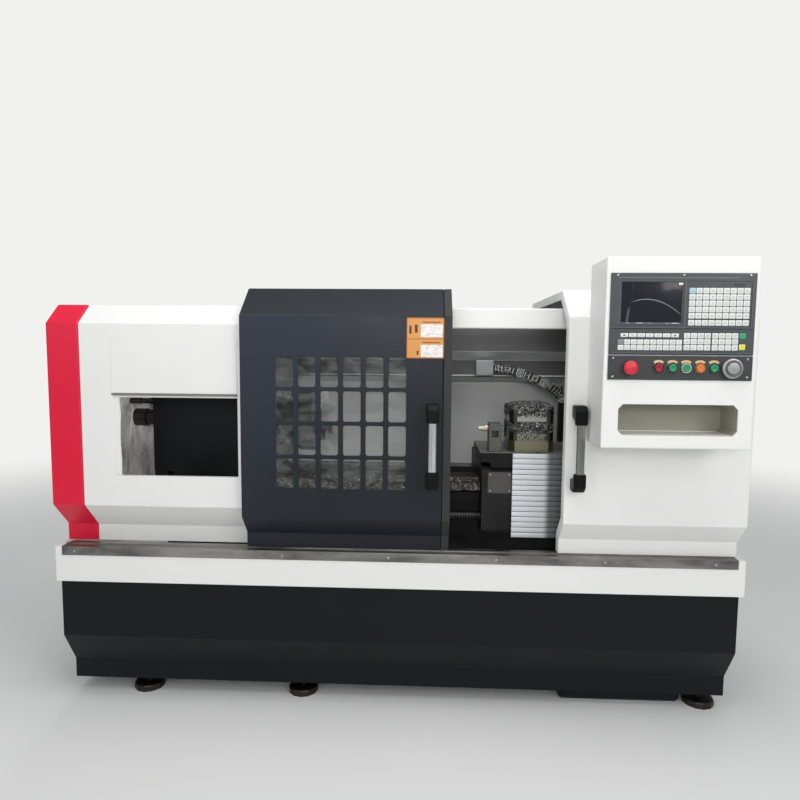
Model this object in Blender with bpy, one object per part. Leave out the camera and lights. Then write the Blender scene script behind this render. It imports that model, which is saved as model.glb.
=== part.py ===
"""Flat-bed CNC turning lathe with a folded sheet-metal enclosure.

Places are worked out from the left end of the tray (x), the front face of the
tray (y) and the floor (z), and every finished piece is moved so that the
origin lies on the floor, under the middle of the whole machine.
"""
import math

import bmesh
import bpy
from mathutils import Vector

# Lengths along the machine
HEAD_COVER_SHOWN = 0.681
LEFT_DOOR_WIDTH = 0.686
DOOR_SEAL_WIDTH = 0.027
DOOR_OPENING = 0.378
RIGHT_DOOR_WIDTH = 0.609
RIGHT_END_MARGIN = 0.019
END_TRIM_WIDTH = 0.1135
HEAD_COVER_OVERLAP = 0.039
TAIL_COVER_OVERLAP = 0.250
BASE_END_INSET = 0.015

# Depths across the machine
TRAY_DEPTH = 0.950
BASE_FRONT_INSET = 0.006
BASE_REAR_INSET = 0.020
LEDGE_DEPTH = 0.064
DOOR_LEAD = 0.0355
COVER_LEAD = 0.006
ROOF_REAR = 0.680

# Heights
FOOT_HEIGHT = 0.055
BASE_HEIGHT = 0.395
TRAY_HEIGHT = 0.126
TRAY_FLOOR_THICKNESS = 0.020
BASE_UNDERCUT_HEIGHT = 0.072
BASE_BEVEL_HEIGHT = 0.120
BASE_UNDERCUT_DEPTH = 0.068

# Folded sheet of the doors and covers
SHEET = 0.003
DOOR_LIP = 0.022
COVER_LIP = 0.020
DOOR_STRIP_HEIGHT = 0.051
DOOR_STRIP_BACK = 0.062
DOOR_LOW_BEVEL_HEIGHT = 0.069
DOOR_FACE_HEIGHT = 0.690
DOOR_TOP_BEVEL_HEIGHT = 0.099
DOOR_TOP_BEVEL_DEPTH = 0.1185
REAR_LIP_DROP = 0.034
COVER_STRIP_HEIGHT = 0.059
COVER_STRIP_BACK = 0.087
COVER_LOW_BEVEL_HEIGHT = 0.091
COVER_TOP_BEVEL_HEIGHT = 0.067
COVER_TOP_BEVEL_DEPTH = 0.077
ROOF_STEP = 0.061

# Clearances
SEAT_GAP = 0.0003
RUN_GAP = 0.001
CUT_OVERRUN = 0.010

# Stainless track over the edge of the tray
STRIP_THICKNESS = 0.002
STRIP_FLANGE = 0.030
STRIP_END_INSET = 0.025
TRACK_RIB_HEIGHT = 0.004
TRACK_RIB_WIDTH = 0.006

# Tray basin
BASIN_END_WALL = 0.022
BASIN_REAR_WALL = 0.020
DRAIN_LENGTH = 0.260
DRAIN_WIDTH = 0.120

# Levelling feet
FOOT_RADIUS = 0.055
FOOT_PAD_HEIGHT = 0.022
FOOT_NUT_RADIUS = 0.022
FOOT_NUT_HEIGHT = 0.014
FOOT_STUD_RADIUS = 0.010
FOOT_EDGE = 0.004
FOOT_INSET = 0.100
FOOT_FIRST = 0.270
FOOT_SECOND = 0.860
FOOT_LAST_FROM_END = 0.080

# Coolant tank under the right end
TANK_LENGTH = 0.440
TANK_FROM_END = 0.150
TANK_FRONT_INSET = 0.110
TANK_HEIGHT = 0.300
TANK_REAR_REACH = 0.160
TANK_BEVEL = 0.012
TANK_BAY_GAP = 0.010
PUMP_RADIUS = 0.048
PUMP_HEIGHT = 0.190
PUMP_CAP_HEIGHT = 0.030
PUMP_INSET = 0.100

# Bed
BED_LEFT_FROM_TRIM = 0.180
BED_RIGHT_FROM_END = 0.055
BED_FRONT = 0.240
BED_WIDTH = 0.320
BED_TOP = 0.797
BED_WAY_WIDTH = 0.085
BED_WAY_DEPTH = 0.040
BED_WAY_OVERHANG = 0.020
VEE_WIDTH = 0.036
VEE_HEIGHT = 0.014
VEE_INSET = 0.022
POCKET_DEPTH = 0.170
POCKET_COUNT = 6
POCKET_RIB = 0.035
SCREW_LUG_LENGTH = 0.045
SCREW_LUG_SIZE = 0.070
SCREW_HEIGHT = 0.668
SCREW_OUT = 0.052
SCREW_RADIUS = 0.016
SCREW_JOURNAL_RADIUS = 0.011
JOURNAL_CLEARANCE = 0.001

# Headstock, spindle and drive
SPINDLE_Y = 0.400
CENTRE_HEIGHT = 0.200
GUARD_LEFT = 0.276
GUARD_WIDTH = 0.074
HEADSTOCK_FRONT = 0.200
HEADSTOCK_WIDTH = 0.420
HEADSTOCK_RISE = 0.163
HEADSTOCK_CHAMFER = 0.030
HEADSTOCK_NOSE_RADIUS = 0.105
HEADSTOCK_NOSE_LENGTH = 0.012
SPINDLE_BORE = 0.026
SPINDLE_TAIL_RADIUS = 0.036
SPINDLE_SHAFT_RADIUS = 0.031
SPINDLE_BODY_RADIUS = 0.045
SPINDLE_FLANGE_RADIUS = 0.085
SPINDLE_TAIL_REACH = 0.160
SPINDLE_TAIL_COLLAR = 0.050
SPINDLE_FLANGE_LENGTH = 0.034
SPINDLE_CLEARANCE = 0.003
MOTOR_RADIUS = 0.105
MOTOR_LENGTH = 0.300
MOTOR_BACK = 0.370
MOTOR_DROP = 0.245
MOTOR_FOOT_WIDTH = 0.170
MOTOR_RIB_COUNT = 6
MOTOR_RIB_DEPTH = 0.006
MOTOR_BOX_SIZE = 0.090
MOTOR_BOX_HEIGHT = 0.070
GUARD_END_RADIUS = 0.120
GUARD_END_START = 35
GUARD_END_TURN = 153
ENCODER_RADIUS = 0.024
ENCODER_LENGTH = 0.085
ENCODER_RISE = 0.082

# Three-jaw chuck
CHUCK_RADIUS = 0.125
CHUCK_LENGTH = 0.095
CHUCK_BORE = 0.038
CHUCK_PLATE_LENGTH = 0.028
CHUCK_PLATE_RADIUS = 0.112
CHUCK_EDGE = 0.006
JAW_COUNT = 3
JAW_WIDTH = 0.030
JAW_SLOT_DEPTH = 0.020
JAW_INNER = 0.046
JAW_LENGTH = 0.072
JAW_STEP_HEIGHT = 0.018
JAW_STEP_COUNT = 3
JAW_STEP_SHARE = 0.8
JAW_CLEARANCE = 0.0005

# Inner walls
WALL_SHEET = 0.003
WALL_FRONT = 0.030
WALL_NOTCH_GAP = 0.004
GUARD_TOP_Y = 0.600
GUARD_TOP_BAND = 0.119
GUARD_LEDGE_DROP = 0.035
GUARD_LEDGE_DEPTH = 0.060
GUARD_SECOND_BAND = 0.070
GUARD_LOWER_DEPTH = 0.120
REAR_POST_SIZE = 0.040
REAR_POST_SHOE = 0.070
REAR_SHOE_THICKNESS = 0.006
RAIL_END_INSET = 0.007
BEAM_HEIGHT = 0.070
BEAM_FRONT = 0.090
BEAM_DEPTH = 0.040

# Saddle and cross slide
SADDLE_LENGTH = 0.400
SADDLE_INSET = 0.057
SADDLE_THICKNESS = 0.063
SADDLE_FRONT = 0.130
SADDLE_REAR = 0.620
APRON_BELOW_SCREW = 0.056
APRON_BEVEL = 0.016
APRON_BED_GAP = 0.002
SCREW_HOLE_GAP = 0.003
DOVETAIL_WIDTH = 0.150
DOVETAIL_SPREAD = 0.012
DOVETAIL_HEIGHT = 0.014
CROSS_FRONT = 0.125
CROSS_LENGTH = 0.295
CROSS_LEFT_REACH = 0.208
CROSS_RIGHT_REACH = 0.200
CROSS_PLATE = 0.036
CROSS_NECK_INSET = 0.040
CROSS_HEIGHT = 0.055
TEE_SLOT_WIDTH = 0.014
TEE_SLOT_DEPTH = 0.012
CHAIN_POST_SIZE = 0.030
CHAIN_POST_HEIGHT = 0.200
X_MOTOR_SIZE = 0.090
X_MOTOR_LENGTH = 0.110
Z_MOTOR_SIZE = 0.095
Z_MOTOR_LENGTH = 0.100
SERVO_CAP_LENGTH = 0.030
SERVO_CAP_STEP = 0.006

# Slat curtain in front of the saddle
CURTAIN_WIDTH = 0.184
CURTAIN_BELOW_APRON = 0.006
CURTAIN_THICKNESS = 0.006
CURTAIN_GAP = 0.012
SLAT_COUNT = 16
SLAT_GROOVE = 0.0022
SLAT_GROOVE_DEPTH = 0.0028

# Four-station turret
TURRET_BASE_SIZE = 0.164
TURRET_BASE_HEIGHT = 0.042
TURRET_BASE_CHAMFER = 0.022
TURRET_HEAD_SIZE = 0.158
TURRET_HEAD_CHAMFER = 0.014
TURRET_HEAD_HEIGHT = 0.114
TURRET_BACK = 0.100
TURRET_FROM_SLIDE_MIDDLE = 0.0226
TURRET_SLOT_BOTTOM = 0.030
TURRET_SLOT_HEIGHT = 0.034
TURRET_SLOT_DEPTH = 0.032
TURRET_CAP_RADIUS = 0.054
TURRET_CAP_HEIGHT = 0.020
TURRET_CAP_SHOULDER_SHARE = 0.55
TURRET_CAP_TOP_SHARE = 0.72
TURRET_BOLT_SPREAD_SHARE = 0.9
TURRET_BOLT_RADIUS = 0.007
TURRET_BOLT_HEIGHT = 0.008
TURRET_BOLTS_PER_SIDE = 3
TURRET_SIDES = 4
BOLT_FACES = 6
COOLANT_BLOCK_LENGTH = 0.044
COOLANT_BLOCK_DEPTH = 0.060
COOLANT_BLOCK_HEIGHT = 0.103
COOLANT_BLOCK_GAP = 0.008
COOLANT_BLOCK_HOLE = 0.024
COOLANT_BLOCK_HOLE_TOP = 0.026
COOLANT_BLOCK_BASE = 0.012
NOZZLE_LENGTH = 0.038
NOZZLE_RADIUS = 0.010
NOZZLE_TIP_RADIUS = 0.006
NOZZLE_DROP = 0.020

# Tailstock
TAILSTOCK_LENGTH = 0.190
TAILSTOCK_END_GAP = 0.012
TAILSTOCK_BASE_HEIGHT = 0.045
TAILSTOCK_NECK_SHARE = 0.42
TAILSTOCK_BARREL = 0.056
TAILSTOCK_SKIRT = 0.010
TAILSTOCK_CHEEK_SHARE = 0.8
QUILL_RADIUS = 0.030
QUILL_SHOWN = 0.012
CENTRE_LENGTH = 0.050
CENTRE_RADIUS = 0.016
WHEEL_RADIUS = 0.085
WHEEL_RIM = 0.009
WHEEL_HUB_RADIUS = 0.024
WHEEL_HUB_LENGTH = 0.022
WHEEL_WEB = 0.006
WHEEL_SPOKES = 3
WHEEL_WINDOW_SHARE = 0.62
WHEEL_SHAFT_RADIUS = 0.010
WHEEL_SHAFT_LENGTH = 0.020
WHEEL_KNOB_RADIUS = 0.009
WHEEL_KNOB_LENGTH = 0.024
WHEEL_KNOB_END_SHARE = 0.8

# Cable chain and its junction box
BOX_SIZE = 0.075
BOX_HEIGHT = 0.066
BOX_FROM_OPENING = 0.130
CHAIN_WIDTH = 0.034
CHAIN_HEIGHT = 0.040
CHAIN_LINK = 0.026
CHAIN_WAIST_SHARE = 0.72
CHAIN_LINK_SHARE = 0.62
CHAIN_RUN_SHARE = 0.3
CHAIN_FALL_SHARE = 0.5
CHAIN_SAMPLES = 100

# Door windows
WINDOW_COLUMNS = 6
WINDOW_ROWS = 4
WINDOW_WIDTH = 0.059
WINDOW_HEIGHT = 0.1015
WINDOW_COLUMN_PITCH = 0.0761
WINDOW_ROW_PITCH = 0.1152
WINDOW_FROM_LEFT = 0.122
WINDOW_FROM_BOTTOM = 0.106
WINDOW_CORNER = 0.0085
PANE_THICKNESS = 0.004
PANE_MARGIN = 0.015

# Headstock cover window
HATCH_FROM_LEFT = 0.113
HATCH_LENGTH = 0.4387
HATCH_FROM_BOTTOM = 0.258
HATCH_HEIGHT = 0.286
HATCH_RETURN = 0.030

# Door handles
HANDLE_HEIGHT = 0.284
HANDLE_BRACKET_HEIGHT = 0.062
HANDLE_BRACKET_WIDTH = 0.040
HANDLE_BAR_WIDTH = 0.027
HANDLE_BAR_DEPTH = 0.014
HANDLE_STAND_OFF = 0.045
HANDLE_FROM_LOW_BEVEL = 0.118
HANDLE_FROM_EDGE_LEFT = 0.036
HANDLE_FROM_EDGE_RIGHT = 0.038
HANDLE_BEVEL = 0.004
HANDLE_ROOT_SHARE = 0.75
HANDLE_ARM_SHARE = 0.62
HANDLE_NOSE_SHARE = 0.3
HANDLE_ROUND_SHARE = 0.45

# Operator panel
PANEL_WIDTH = 0.447
PANEL_HEIGHT = 0.572
PANEL_DEPTH = 0.172
PANEL_FROM_RIGHT = 0.096
PANEL_RISE = 0.168
PANEL_BEVEL = 0.004
PLATE_MARGIN = 0.0125
PLATE_THICKNESS = 0.003
PLATE_FROM_TOP = 0.049
UPPER_PLATE_HEIGHT = 0.240
LOWER_PLATE_HEIGHT = 0.0725
PLATE_SPACING = 0.0025
SCREEN_WIDTH = 0.176
SCREEN_HEIGHT = 0.123
SCREEN_FROM_LEFT = 0.032
SCREEN_FROM_TOP = 0.0266
SCREEN_RECESS = 0.001
KEY_HEIGHT = 0.0012
KEY_SHARE = 0.80
KEY_COLUMNS_AND_ROWS = ((9, 6), (7, 1), (10, 2), (4, 3), (4, 3), (1, 2))
BESIDE_SCREEN_SHARES = (0.095, 0.125, 0.825, 0.895)
SOFT_KEY_SHARES = (0.0, 0.295, 0.985, 0.14)
MODE_KEY_SHARES = (-0.04, 0.495, 1.08, 0.365)
AXIS_KEY_SHARES = (0.048, 0.275, 0.37, 0.58)
SPINDLE_KEY_SHARES = (0.43, 0.275, 0.36, 0.58)
START_KEY_SHARES = (0.80, 0.27, 0.09, 0.57)
SHELF_WIDTH = 0.354
SHELF_HEIGHT = 0.0944
SHELF_FROM_LEFT = 0.049
SHELF_FROM_BOTTOM = 0.040
SHELF_CHAMFER = 0.0143
SHELF_DEPTH = 0.110

# Buttons and dials, measured from the left end of the button plate
ESTOP_FROM_LEFT = 0.063
ESTOP_RADIUS = 0.021
ESTOP_HEAD_HEIGHT = 0.012
ESTOP_STEM_RADIUS = 0.009
ESTOP_COLLAR_RADIUS = 0.0145
ESTOP_STAND_OFF = 0.013
ESTOP_TRAVEL = 0.005
ESTOP_TOP_SHARE = 0.55
ESTOP_EDGE_SHARES = (0.2, 0.88)
ESTOP_BELLY_SHARE = 0.55
ESTOP_RIM_SHARE = 0.92
BUTTON_COUNT = 5
BUTTON_FROM_LEFT = 0.1485
BUTTON_PITCH = 0.0404
BUTTON_CAP_RADIUS = 0.0115
BUTTON_BEZEL_RADIUS = 0.0158
BUTTON_BEZEL_HEIGHT = 0.005
BUTTON_PROUD = 0.0035
BUTTON_TRAVEL = 0.003
BUTTON_GAP = 0.0005
BUTTON_TOP_SHARE = 0.86
BEZEL_SEAT = 0.001
DIAL_FROM_RIGHT = 0.0620
DIAL_RADIUS = 0.030
DIAL_HEIGHT = 0.014
DIAL_HUB_RADIUS = 0.018
DIAL_HUB_HEIGHT = 0.005
DIAL_SHAFT_RADIUS = 0.005
DIAL_NOTCHES = 16
DIAL_HUB_TOP_SHARE = 0.9
DIAL_FACE_SHARE = 0.93
DIAL_GRIP_SHARE = 0.965

# Electrical cabinet behind the rear guard
CABINET_LENGTH = 0.750
CABINET_DEPTH = 0.230
CABINET_HEIGHT = 0.780
CABINET_FROM_END = 0.200
CABINET_BOTTOM_GAP = 0.030
CABINET_DOOR_MARGIN = 0.020
CABINET_DOOR_THICKNESS = 0.014
CABINET_BEVEL = 0.006
VENT_COUNT = 7
VENT_LENGTH = 0.200
VENT_WIDTH = 0.008
VENT_DEPTH = 0.006
VENT_PITCH = 0.020
VENT_RISE = 0.060
SWITCH_RADIUS = 0.026
SWITCH_HEIGHT = 0.022
SWITCH_GRIP = 0.012
SWITCH_INSET = 0.070
SWITCH_GRIP_SHARE = 0.9

# Roundness, in faces round a circle
FINE = 40
ROUND = 24
SMALL = 16
COARSE = 12
CORNER_STEPS = 2
SMOOTH_ANGLE = 35
FLAT_ANGLE = 0.5
HALF_ROUND_PROFILE = 0.5

# Sizes that follow from the ones above
LEFT_DOOR_RIGHT = HEAD_COVER_SHOWN + LEFT_DOOR_WIDTH
SEAL_RIGHT = LEFT_DOOR_RIGHT + DOOR_SEAL_WIDTH
RIGHT_DOOR_LEFT = SEAL_RIGHT + DOOR_OPENING
RIGHT_DOOR_RIGHT = RIGHT_DOOR_LEFT + RIGHT_DOOR_WIDTH
TRAY_LENGTH = RIGHT_DOOR_RIGHT + RIGHT_END_MARGIN
BASE_TOP = FOOT_HEIGHT + BASE_HEIGHT
TRAY_TOP = BASE_TOP + TRAY_HEIGHT
TRAY_FLOOR = BASE_TOP + TRAY_FLOOR_THICKNESS
COVER_BOTTOM = TRAY_TOP + STRIP_THICKNESS + SEAT_GAP
DOOR_BOTTOM = TRAY_TOP + STRIP_THICKNESS + TRACK_RIB_HEIGHT + SEAT_GAP
DOOR_LOW_EDGE = DOOR_BOTTOM + DOOR_STRIP_HEIGHT + DOOR_LOW_BEVEL_HEIGHT
DOOR_TOP_EDGE = DOOR_LOW_EDGE + DOOR_FACE_HEIGHT
DOOR_ROOF = DOOR_TOP_EDGE + DOOR_TOP_BEVEL_HEIGHT
COVER_ROOF = DOOR_ROOF - ROOF_STEP
HEAD_COVER_RIGHT = HEAD_COVER_SHOWN + HEAD_COVER_OVERLAP
TAIL_COVER_LEFT = RIGHT_DOOR_LEFT + TAIL_COVER_OVERLAP
PANEL_RIGHT = RIGHT_DOOR_RIGHT - PANEL_FROM_RIGHT
PANEL_LEFT = PANEL_RIGHT - PANEL_WIDTH
PANEL_TOP = DOOR_TOP_EDGE + PANEL_RISE
PANEL_BOTTOM = PANEL_TOP - PANEL_HEIGHT
PANEL_FRONT = -DOOR_LEAD - SEAT_GAP - PANEL_DEPTH
PLATE_LEFT = PANEL_LEFT + PLATE_MARGIN
PLATE_RIGHT = PANEL_RIGHT - PLATE_MARGIN
PLATE_FRONT = PANEL_FRONT - SEAT_GAP - PLATE_THICKNESS
UPPER_PLATE_TOP = PANEL_TOP - PLATE_FROM_TOP
UPPER_PLATE_BOTTOM = UPPER_PLATE_TOP - UPPER_PLATE_HEIGHT
LOWER_PLATE_TOP = UPPER_PLATE_BOTTOM - PLATE_SPACING
LOWER_PLATE_BOTTOM = LOWER_PLATE_TOP - LOWER_PLATE_HEIGHT
BUTTON_Z = (LOWER_PLATE_TOP + LOWER_PLATE_BOTTOM) / 2
BED_LEFT = END_TRIM_WIDTH + BED_LEFT_FROM_TRIM
BED_RIGHT = TRAY_LENGTH - BED_RIGHT_FROM_END
BED_REAR = BED_FRONT + BED_WIDTH
SPINDLE_Z = BED_TOP + CENTRE_HEIGHT
HEADSTOCK_TOP = SPINDLE_Z + HEADSTOCK_RISE
SADDLE_TOP = BED_TOP + SADDLE_THICKNESS
CROSS_TOP = SADDLE_TOP + CROSS_HEIGHT
CHAIN_POST_TOP = SADDLE_TOP + CHAIN_POST_HEIGHT
SCREW_Y = BED_FRONT - SCREW_OUT
APRON_BOTTOM = SCREW_HEIGHT - APRON_BELOW_SCREW
CURTAIN_BOTTOM = APRON_BOTTOM - CURTAIN_BELOW_APRON
HEADSTOCK_LEFT = GUARD_LEFT + GUARD_WIDTH + SEAT_GAP
HEADSTOCK_RIGHT = HEAD_COVER_RIGHT
HEADSTOCK_REAR = HEADSTOCK_FRONT + HEADSTOCK_WIDTH
WALL_LEFT = HEAD_COVER_RIGHT + SEAT_GAP
WALL_RIGHT = WALL_LEFT + WALL_SHEET
CHUCK_LEFT = WALL_RIGHT + HEADSTOCK_NOSE_LENGTH + SPINDLE_FLANGE_LENGTH
CHUCK_RIGHT = CHUCK_LEFT + CHUCK_LENGTH
GUARD_REAR = GUARD_TOP_Y + GUARD_LEDGE_DEPTH + GUARD_LOWER_DEPTH
SADDLE_X = RIGHT_DOOR_LEFT - SADDLE_INSET
SADDLE_LEFT = SADDLE_X - SADDLE_LENGTH / 2
SADDLE_RIGHT = SADDLE_X + SADDLE_LENGTH / 2
TURRET_X = SADDLE_X - TURRET_FROM_SLIDE_MIDDLE
TURRET_Y = CROSS_FRONT + TURRET_BACK
TURRET_BASE_TOP = CROSS_TOP + SEAT_GAP + TURRET_BASE_HEIGHT
TAILSTOCK_RIGHT = BED_RIGHT - TAILSTOCK_END_GAP
TAILSTOCK_LEFT = TAILSTOCK_RIGHT - TAILSTOCK_LENGTH
RAIL_BOTTOM = COVER_ROOF + SEAT_GAP
RAIL_TOP = DOOR_ROOF - REAR_LIP_DROP - SEAT_GAP
CABINET_FRONT = GUARD_REAR + WALL_SHEET + SEAT_GAP
CABINET_BOTTOM = TRAY_TOP + CABINET_BOTTOM_GAP
CABINET_RIGHT = TRAY_LENGTH - CABINET_FROM_END
CABINET_REAR = CABINET_FRONT + CABINET_DEPTH
SWITCH_Y = CABINET_REAR + CABINET_DOOR_THICKNESS + SEAT_GAP
TANK_REAR = TRAY_DEPTH + TANK_REAR_REACH
REAR_REACH = max(SWITCH_Y + SWITCH_HEIGHT + SWITCH_GRIP, TANK_REAR)
FRONT_REACH = -PLATE_FRONT + ESTOP_STAND_OFF + ESTOP_HEAD_HEIGHT
SHIFT = Vector((-TRAY_LENGTH / 2, (FRONT_REACH - REAR_REACH) / 2, 0))


def material(name, colour, roughness, metallic=0.0):
    """One plain material with its colour, roughness and metal value."""
    made = bpy.data.materials.new(name)
    made.use_nodes = True
    shader = made.node_tree.nodes["Principled BSDF"]
    shader.inputs["Base Color"].default_value = (*colour, 1.0)
    shader.inputs["Roughness"].default_value = roughness
    shader.inputs["Metallic"].default_value = metallic
    return made


def node(name, bm, look, pivot=(0, 0, 0), smooth=False):
    """Turn a closed mesh into a named piece whose origin is its pivot."""
    bmesh.ops.recalc_face_normals(bm, faces=bm.faces)
    bmesh.ops.translate(bm, verts=bm.verts, vec=-Vector(pivot))
    mesh = bpy.data.meshes.new(name)
    bm.to_mesh(mesh)
    bm.free()
    if smooth:
        mesh.shade_smooth()
        mesh.set_sharp_from_angle(angle=math.radians(SMOOTH_ANGLE))
    made = bpy.data.objects.new(name, mesh)
    bpy.context.scene.collection.objects.link(made)
    made.data.materials.append(look)
    made.location = Vector(pivot) + SHIFT
    return made


def box(x0, x1, y0, y1, z0, z1):
    """A plain block between two corners."""
    bm = bmesh.new()
    bmesh.ops.create_cube(bm, size=1.0)
    for v in bm.verts:
        v.co.x = x1 if v.co.x > 0 else x0
        v.co.y = y1 if v.co.y > 0 else y0
        v.co.z = z1 if v.co.z > 0 else z0
    return bm


def bevelled(bm, width, steps=1):
    """Chamfer or round every edge of a block."""
    bmesh.ops.bevel(bm, geom=bm.edges[:], offset=width, segments=steps, profile=HALF_ROUND_PROFILE,
                     affect='EDGES')
    return bm


def prism(points, start, end, axis='X'):
    """Extrude an outline along one axis; the points hold the other two coordinates in order."""
    bm = bmesh.new()
    ends = []
    for along in (start, end):
        ring = []
        for a, b in points:
            place = {'X': (along, a, b), 'Y': (a, along, b), 'Z': (a, b, along)}[axis]
            ring.append(bm.verts.new(place))
        ends.append(ring)
    bm.faces.new(ends[0])
    bm.faces.new(ends[1])
    count = len(points)
    for i in range(count):
        j = (i + 1) % count
        bm.faces.new((ends[0][i], ends[0][j], ends[1][j], ends[1][i]))
    return bm


def turned(profile, centre, axis='X', steps=ROUND, closed=False):
    """Revolve (distance along the axis, radius) points; a closed profile leaves a bore."""
    bm = bmesh.new()
    rings = []
    for along, radius in profile:
        if radius == 0:
            rings.append([bm.verts.new(axis_point(centre, axis, along, 0, 0))])
            continue
        ring = []
        for i in range(steps):
            turn = 2 * math.pi * i / steps
            ring.append(bm.verts.new(axis_point(centre, axis, along, radius, turn)))
        rings.append(ring)
    pairs = list(zip(rings, rings[1:]))
    if closed:
        pairs.append((rings[-1], rings[0]))
    for a, b in pairs:
        join_rings(bm, a, b)
    if not closed:
        for ring in (rings[0], rings[-1]):
            if len(ring) > 1:
                bm.faces.new(ring)
    return bm


def axis_point(centre, axis, along, radius, turn):
    """A point at a radius and an angle round an axis through the centre."""
    a = radius * math.cos(turn)
    b = radius * math.sin(turn)
    offset = {'X': (along, a, b), 'Y': (a, along, b), 'Z': (a, b, along)}[axis]
    return Vector(centre) + Vector(offset)


def join_rings(bm, a, b):
    """Faces between two rings, either of which may be a single point."""
    count = max(len(a), len(b))
    for i in range(count):
        j = (i + 1) % count
        corners = [a[i % len(a)], a[j % len(a)], b[j % len(b)], b[i % len(b)]]
        bm.faces.new(list(dict.fromkeys(corners)))


def combine(first, second, operation):
    """Boolean of two meshes, both used up, as a new mesh."""
    objects = []
    for bm in (first, second):
        bmesh.ops.recalc_face_normals(bm, faces=bm.faces)
        mesh = bpy.data.meshes.new("shape")
        bm.to_mesh(mesh)
        bm.free()
        made = bpy.data.objects.new("shape", mesh)
        bpy.context.scene.collection.objects.link(made)
        objects.append(made)
    change = objects[0].modifiers.new("change", 'BOOLEAN')
    change.operation = operation
    change.solver = 'EXACT'
    change.object = objects[1]
    bpy.context.view_layer.update()
    seen = objects[0].evaluated_get(bpy.context.evaluated_depsgraph_get())
    result = bmesh.new()
    result.from_mesh(seen.to_mesh())
    seen.to_mesh_clear()
    for made in objects:
        mesh = made.data
        bpy.data.objects.remove(made)
        bpy.data.meshes.remove(mesh)
    bmesh.ops.dissolve_limit(result, angle_limit=math.radians(FLAT_ANGLE), verts=result.verts,
                             edges=result.edges)
    return result


def cut(first, second):
    """Take the second shape away from the first."""
    return combine(first, second, 'DIFFERENCE')


def fuse(first, *others):
    """Join shapes that overlap into one body."""
    for other in others:
        first = combine(first, other, 'UNION')
    return first


def gather(shapes):
    """Several separate shapes in one mesh, for use as one cutter."""
    whole = bmesh.new()
    for bm in shapes:
        mesh = bpy.data.meshes.new("shape")
        bm.to_mesh(mesh)
        bm.free()
        whole.from_mesh(mesh)
        bpy.data.meshes.remove(mesh)
    return whole


def rounded_outline(a0, a1, b0, b1, radius, steps=CORNER_STEPS):
    """A rectangle's outline with its corners rounded by arcs."""
    points = []
    corners = ((a1, b1, 0), (a0, b1, 1), (a0, b0, 2), (a1, b0, 3))
    for a, b, quarter in corners:
        middle_a = a - radius if a == a1 else a + radius
        middle_b = b - radius if b == b1 else b + radius
        for i in range(steps + 1):
            turn = math.pi / 2 * (quarter + i / steps)
            points.append((middle_a + radius * math.cos(turn), middle_b + radius * math.sin(turn)))
    return points


def offset_path(path, distance):
    """Move an open outline inwards by a distance, with mitred corners."""
    directions = []
    for (y0, z0), (y1, z1) in zip(path, path[1:]):
        length = math.hypot(y1 - y0, z1 - z0)
        directions.append(((z1 - z0) / length, -(y1 - y0) / length))
    moved = []
    for i, (y, z) in enumerate(path):
        before = directions[max(i - 1, 0)]
        after = directions[min(i, len(directions) - 1)]
        scale = 1 + before[0] * after[0] + before[1] * after[1]
        moved.append((y + distance * (before[0] + after[0]) / scale,
                      z + distance * (before[1] + after[1]) / scale))
    return moved


def folded_sheet(path, x0, x1, sheet, lip):
    """A folded sheet along the machine, with an inward lip all along both of its ends."""
    bm = bmesh.new()
    depths = (0, sheet, lip)
    rings = []
    for x in (x0, x0 + sheet, x1 - sheet, x1):
        rings.append([[bm.verts.new((x, y, z)) for y, z in offset_path(path, depth)] for depth in depths])

    def band(a, b):
        for i in range(len(path) - 1):
            bm.faces.new((a[i], a[i + 1], b[i + 1], b[i]))

    for left, right in zip(rings, rings[1:]):
        band(left[0], right[0])
    band(rings[1][1], rings[2][1])
    for a, b in ((rings[0], rings[1]), (rings[2], rings[3])):
        band(a[2], b[2])
    for ring in (rings[1], rings[2]):
        band(ring[1], ring[2])
    for ring in (rings[0], rings[3]):
        band(ring[0], ring[1])
        band(ring[1], ring[2])
    for end in (0, -1):
        for a, b in zip(rings, rings[1:]):
            bm.faces.new((a[0][end], b[0][end], b[1][end], a[1][end]))
        for a, b in ((rings[0], rings[1]), (rings[2], rings[3])):
            bm.faces.new((a[1][end], b[1][end], b[2][end], a[2][end]))
    return bm


def door_path():
    """Section of a door: strip, lower bevel, face, upper bevel, roof and rear lip."""
    strip_y = DOOR_STRIP_BACK - DOOR_LEAD
    strip_top = DOOR_BOTTOM + DOOR_STRIP_HEIGHT
    roof_y = DOOR_TOP_BEVEL_DEPTH - DOOR_LEAD
    return [(strip_y, DOOR_BOTTOM), (strip_y, strip_top), (-DOOR_LEAD, DOOR_LOW_EDGE),
            (-DOOR_LEAD, DOOR_TOP_EDGE), (roof_y, DOOR_ROOF), (ROOF_REAR, DOOR_ROOF),
            (ROOF_REAR, DOOR_ROOF - REAR_LIP_DROP)]


def cover_path():
    """Section of a fixed cover, which the doors pass over."""
    strip_y = COVER_STRIP_BACK - COVER_LEAD
    strip_top = COVER_BOTTOM + COVER_STRIP_HEIGHT
    roof_y = COVER_TOP_BEVEL_DEPTH - COVER_LEAD
    return [(strip_y, COVER_BOTTOM), (strip_y, strip_top),
            (-COVER_LEAD, strip_top + COVER_LOW_BEVEL_HEIGHT),
            (-COVER_LEAD, COVER_ROOF - COVER_TOP_BEVEL_HEIGHT), (roof_y, COVER_ROOF),
            (ROOF_REAR, COVER_ROOF), (ROOF_REAR, COVER_ROOF - REAR_LIP_DROP)]


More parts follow.
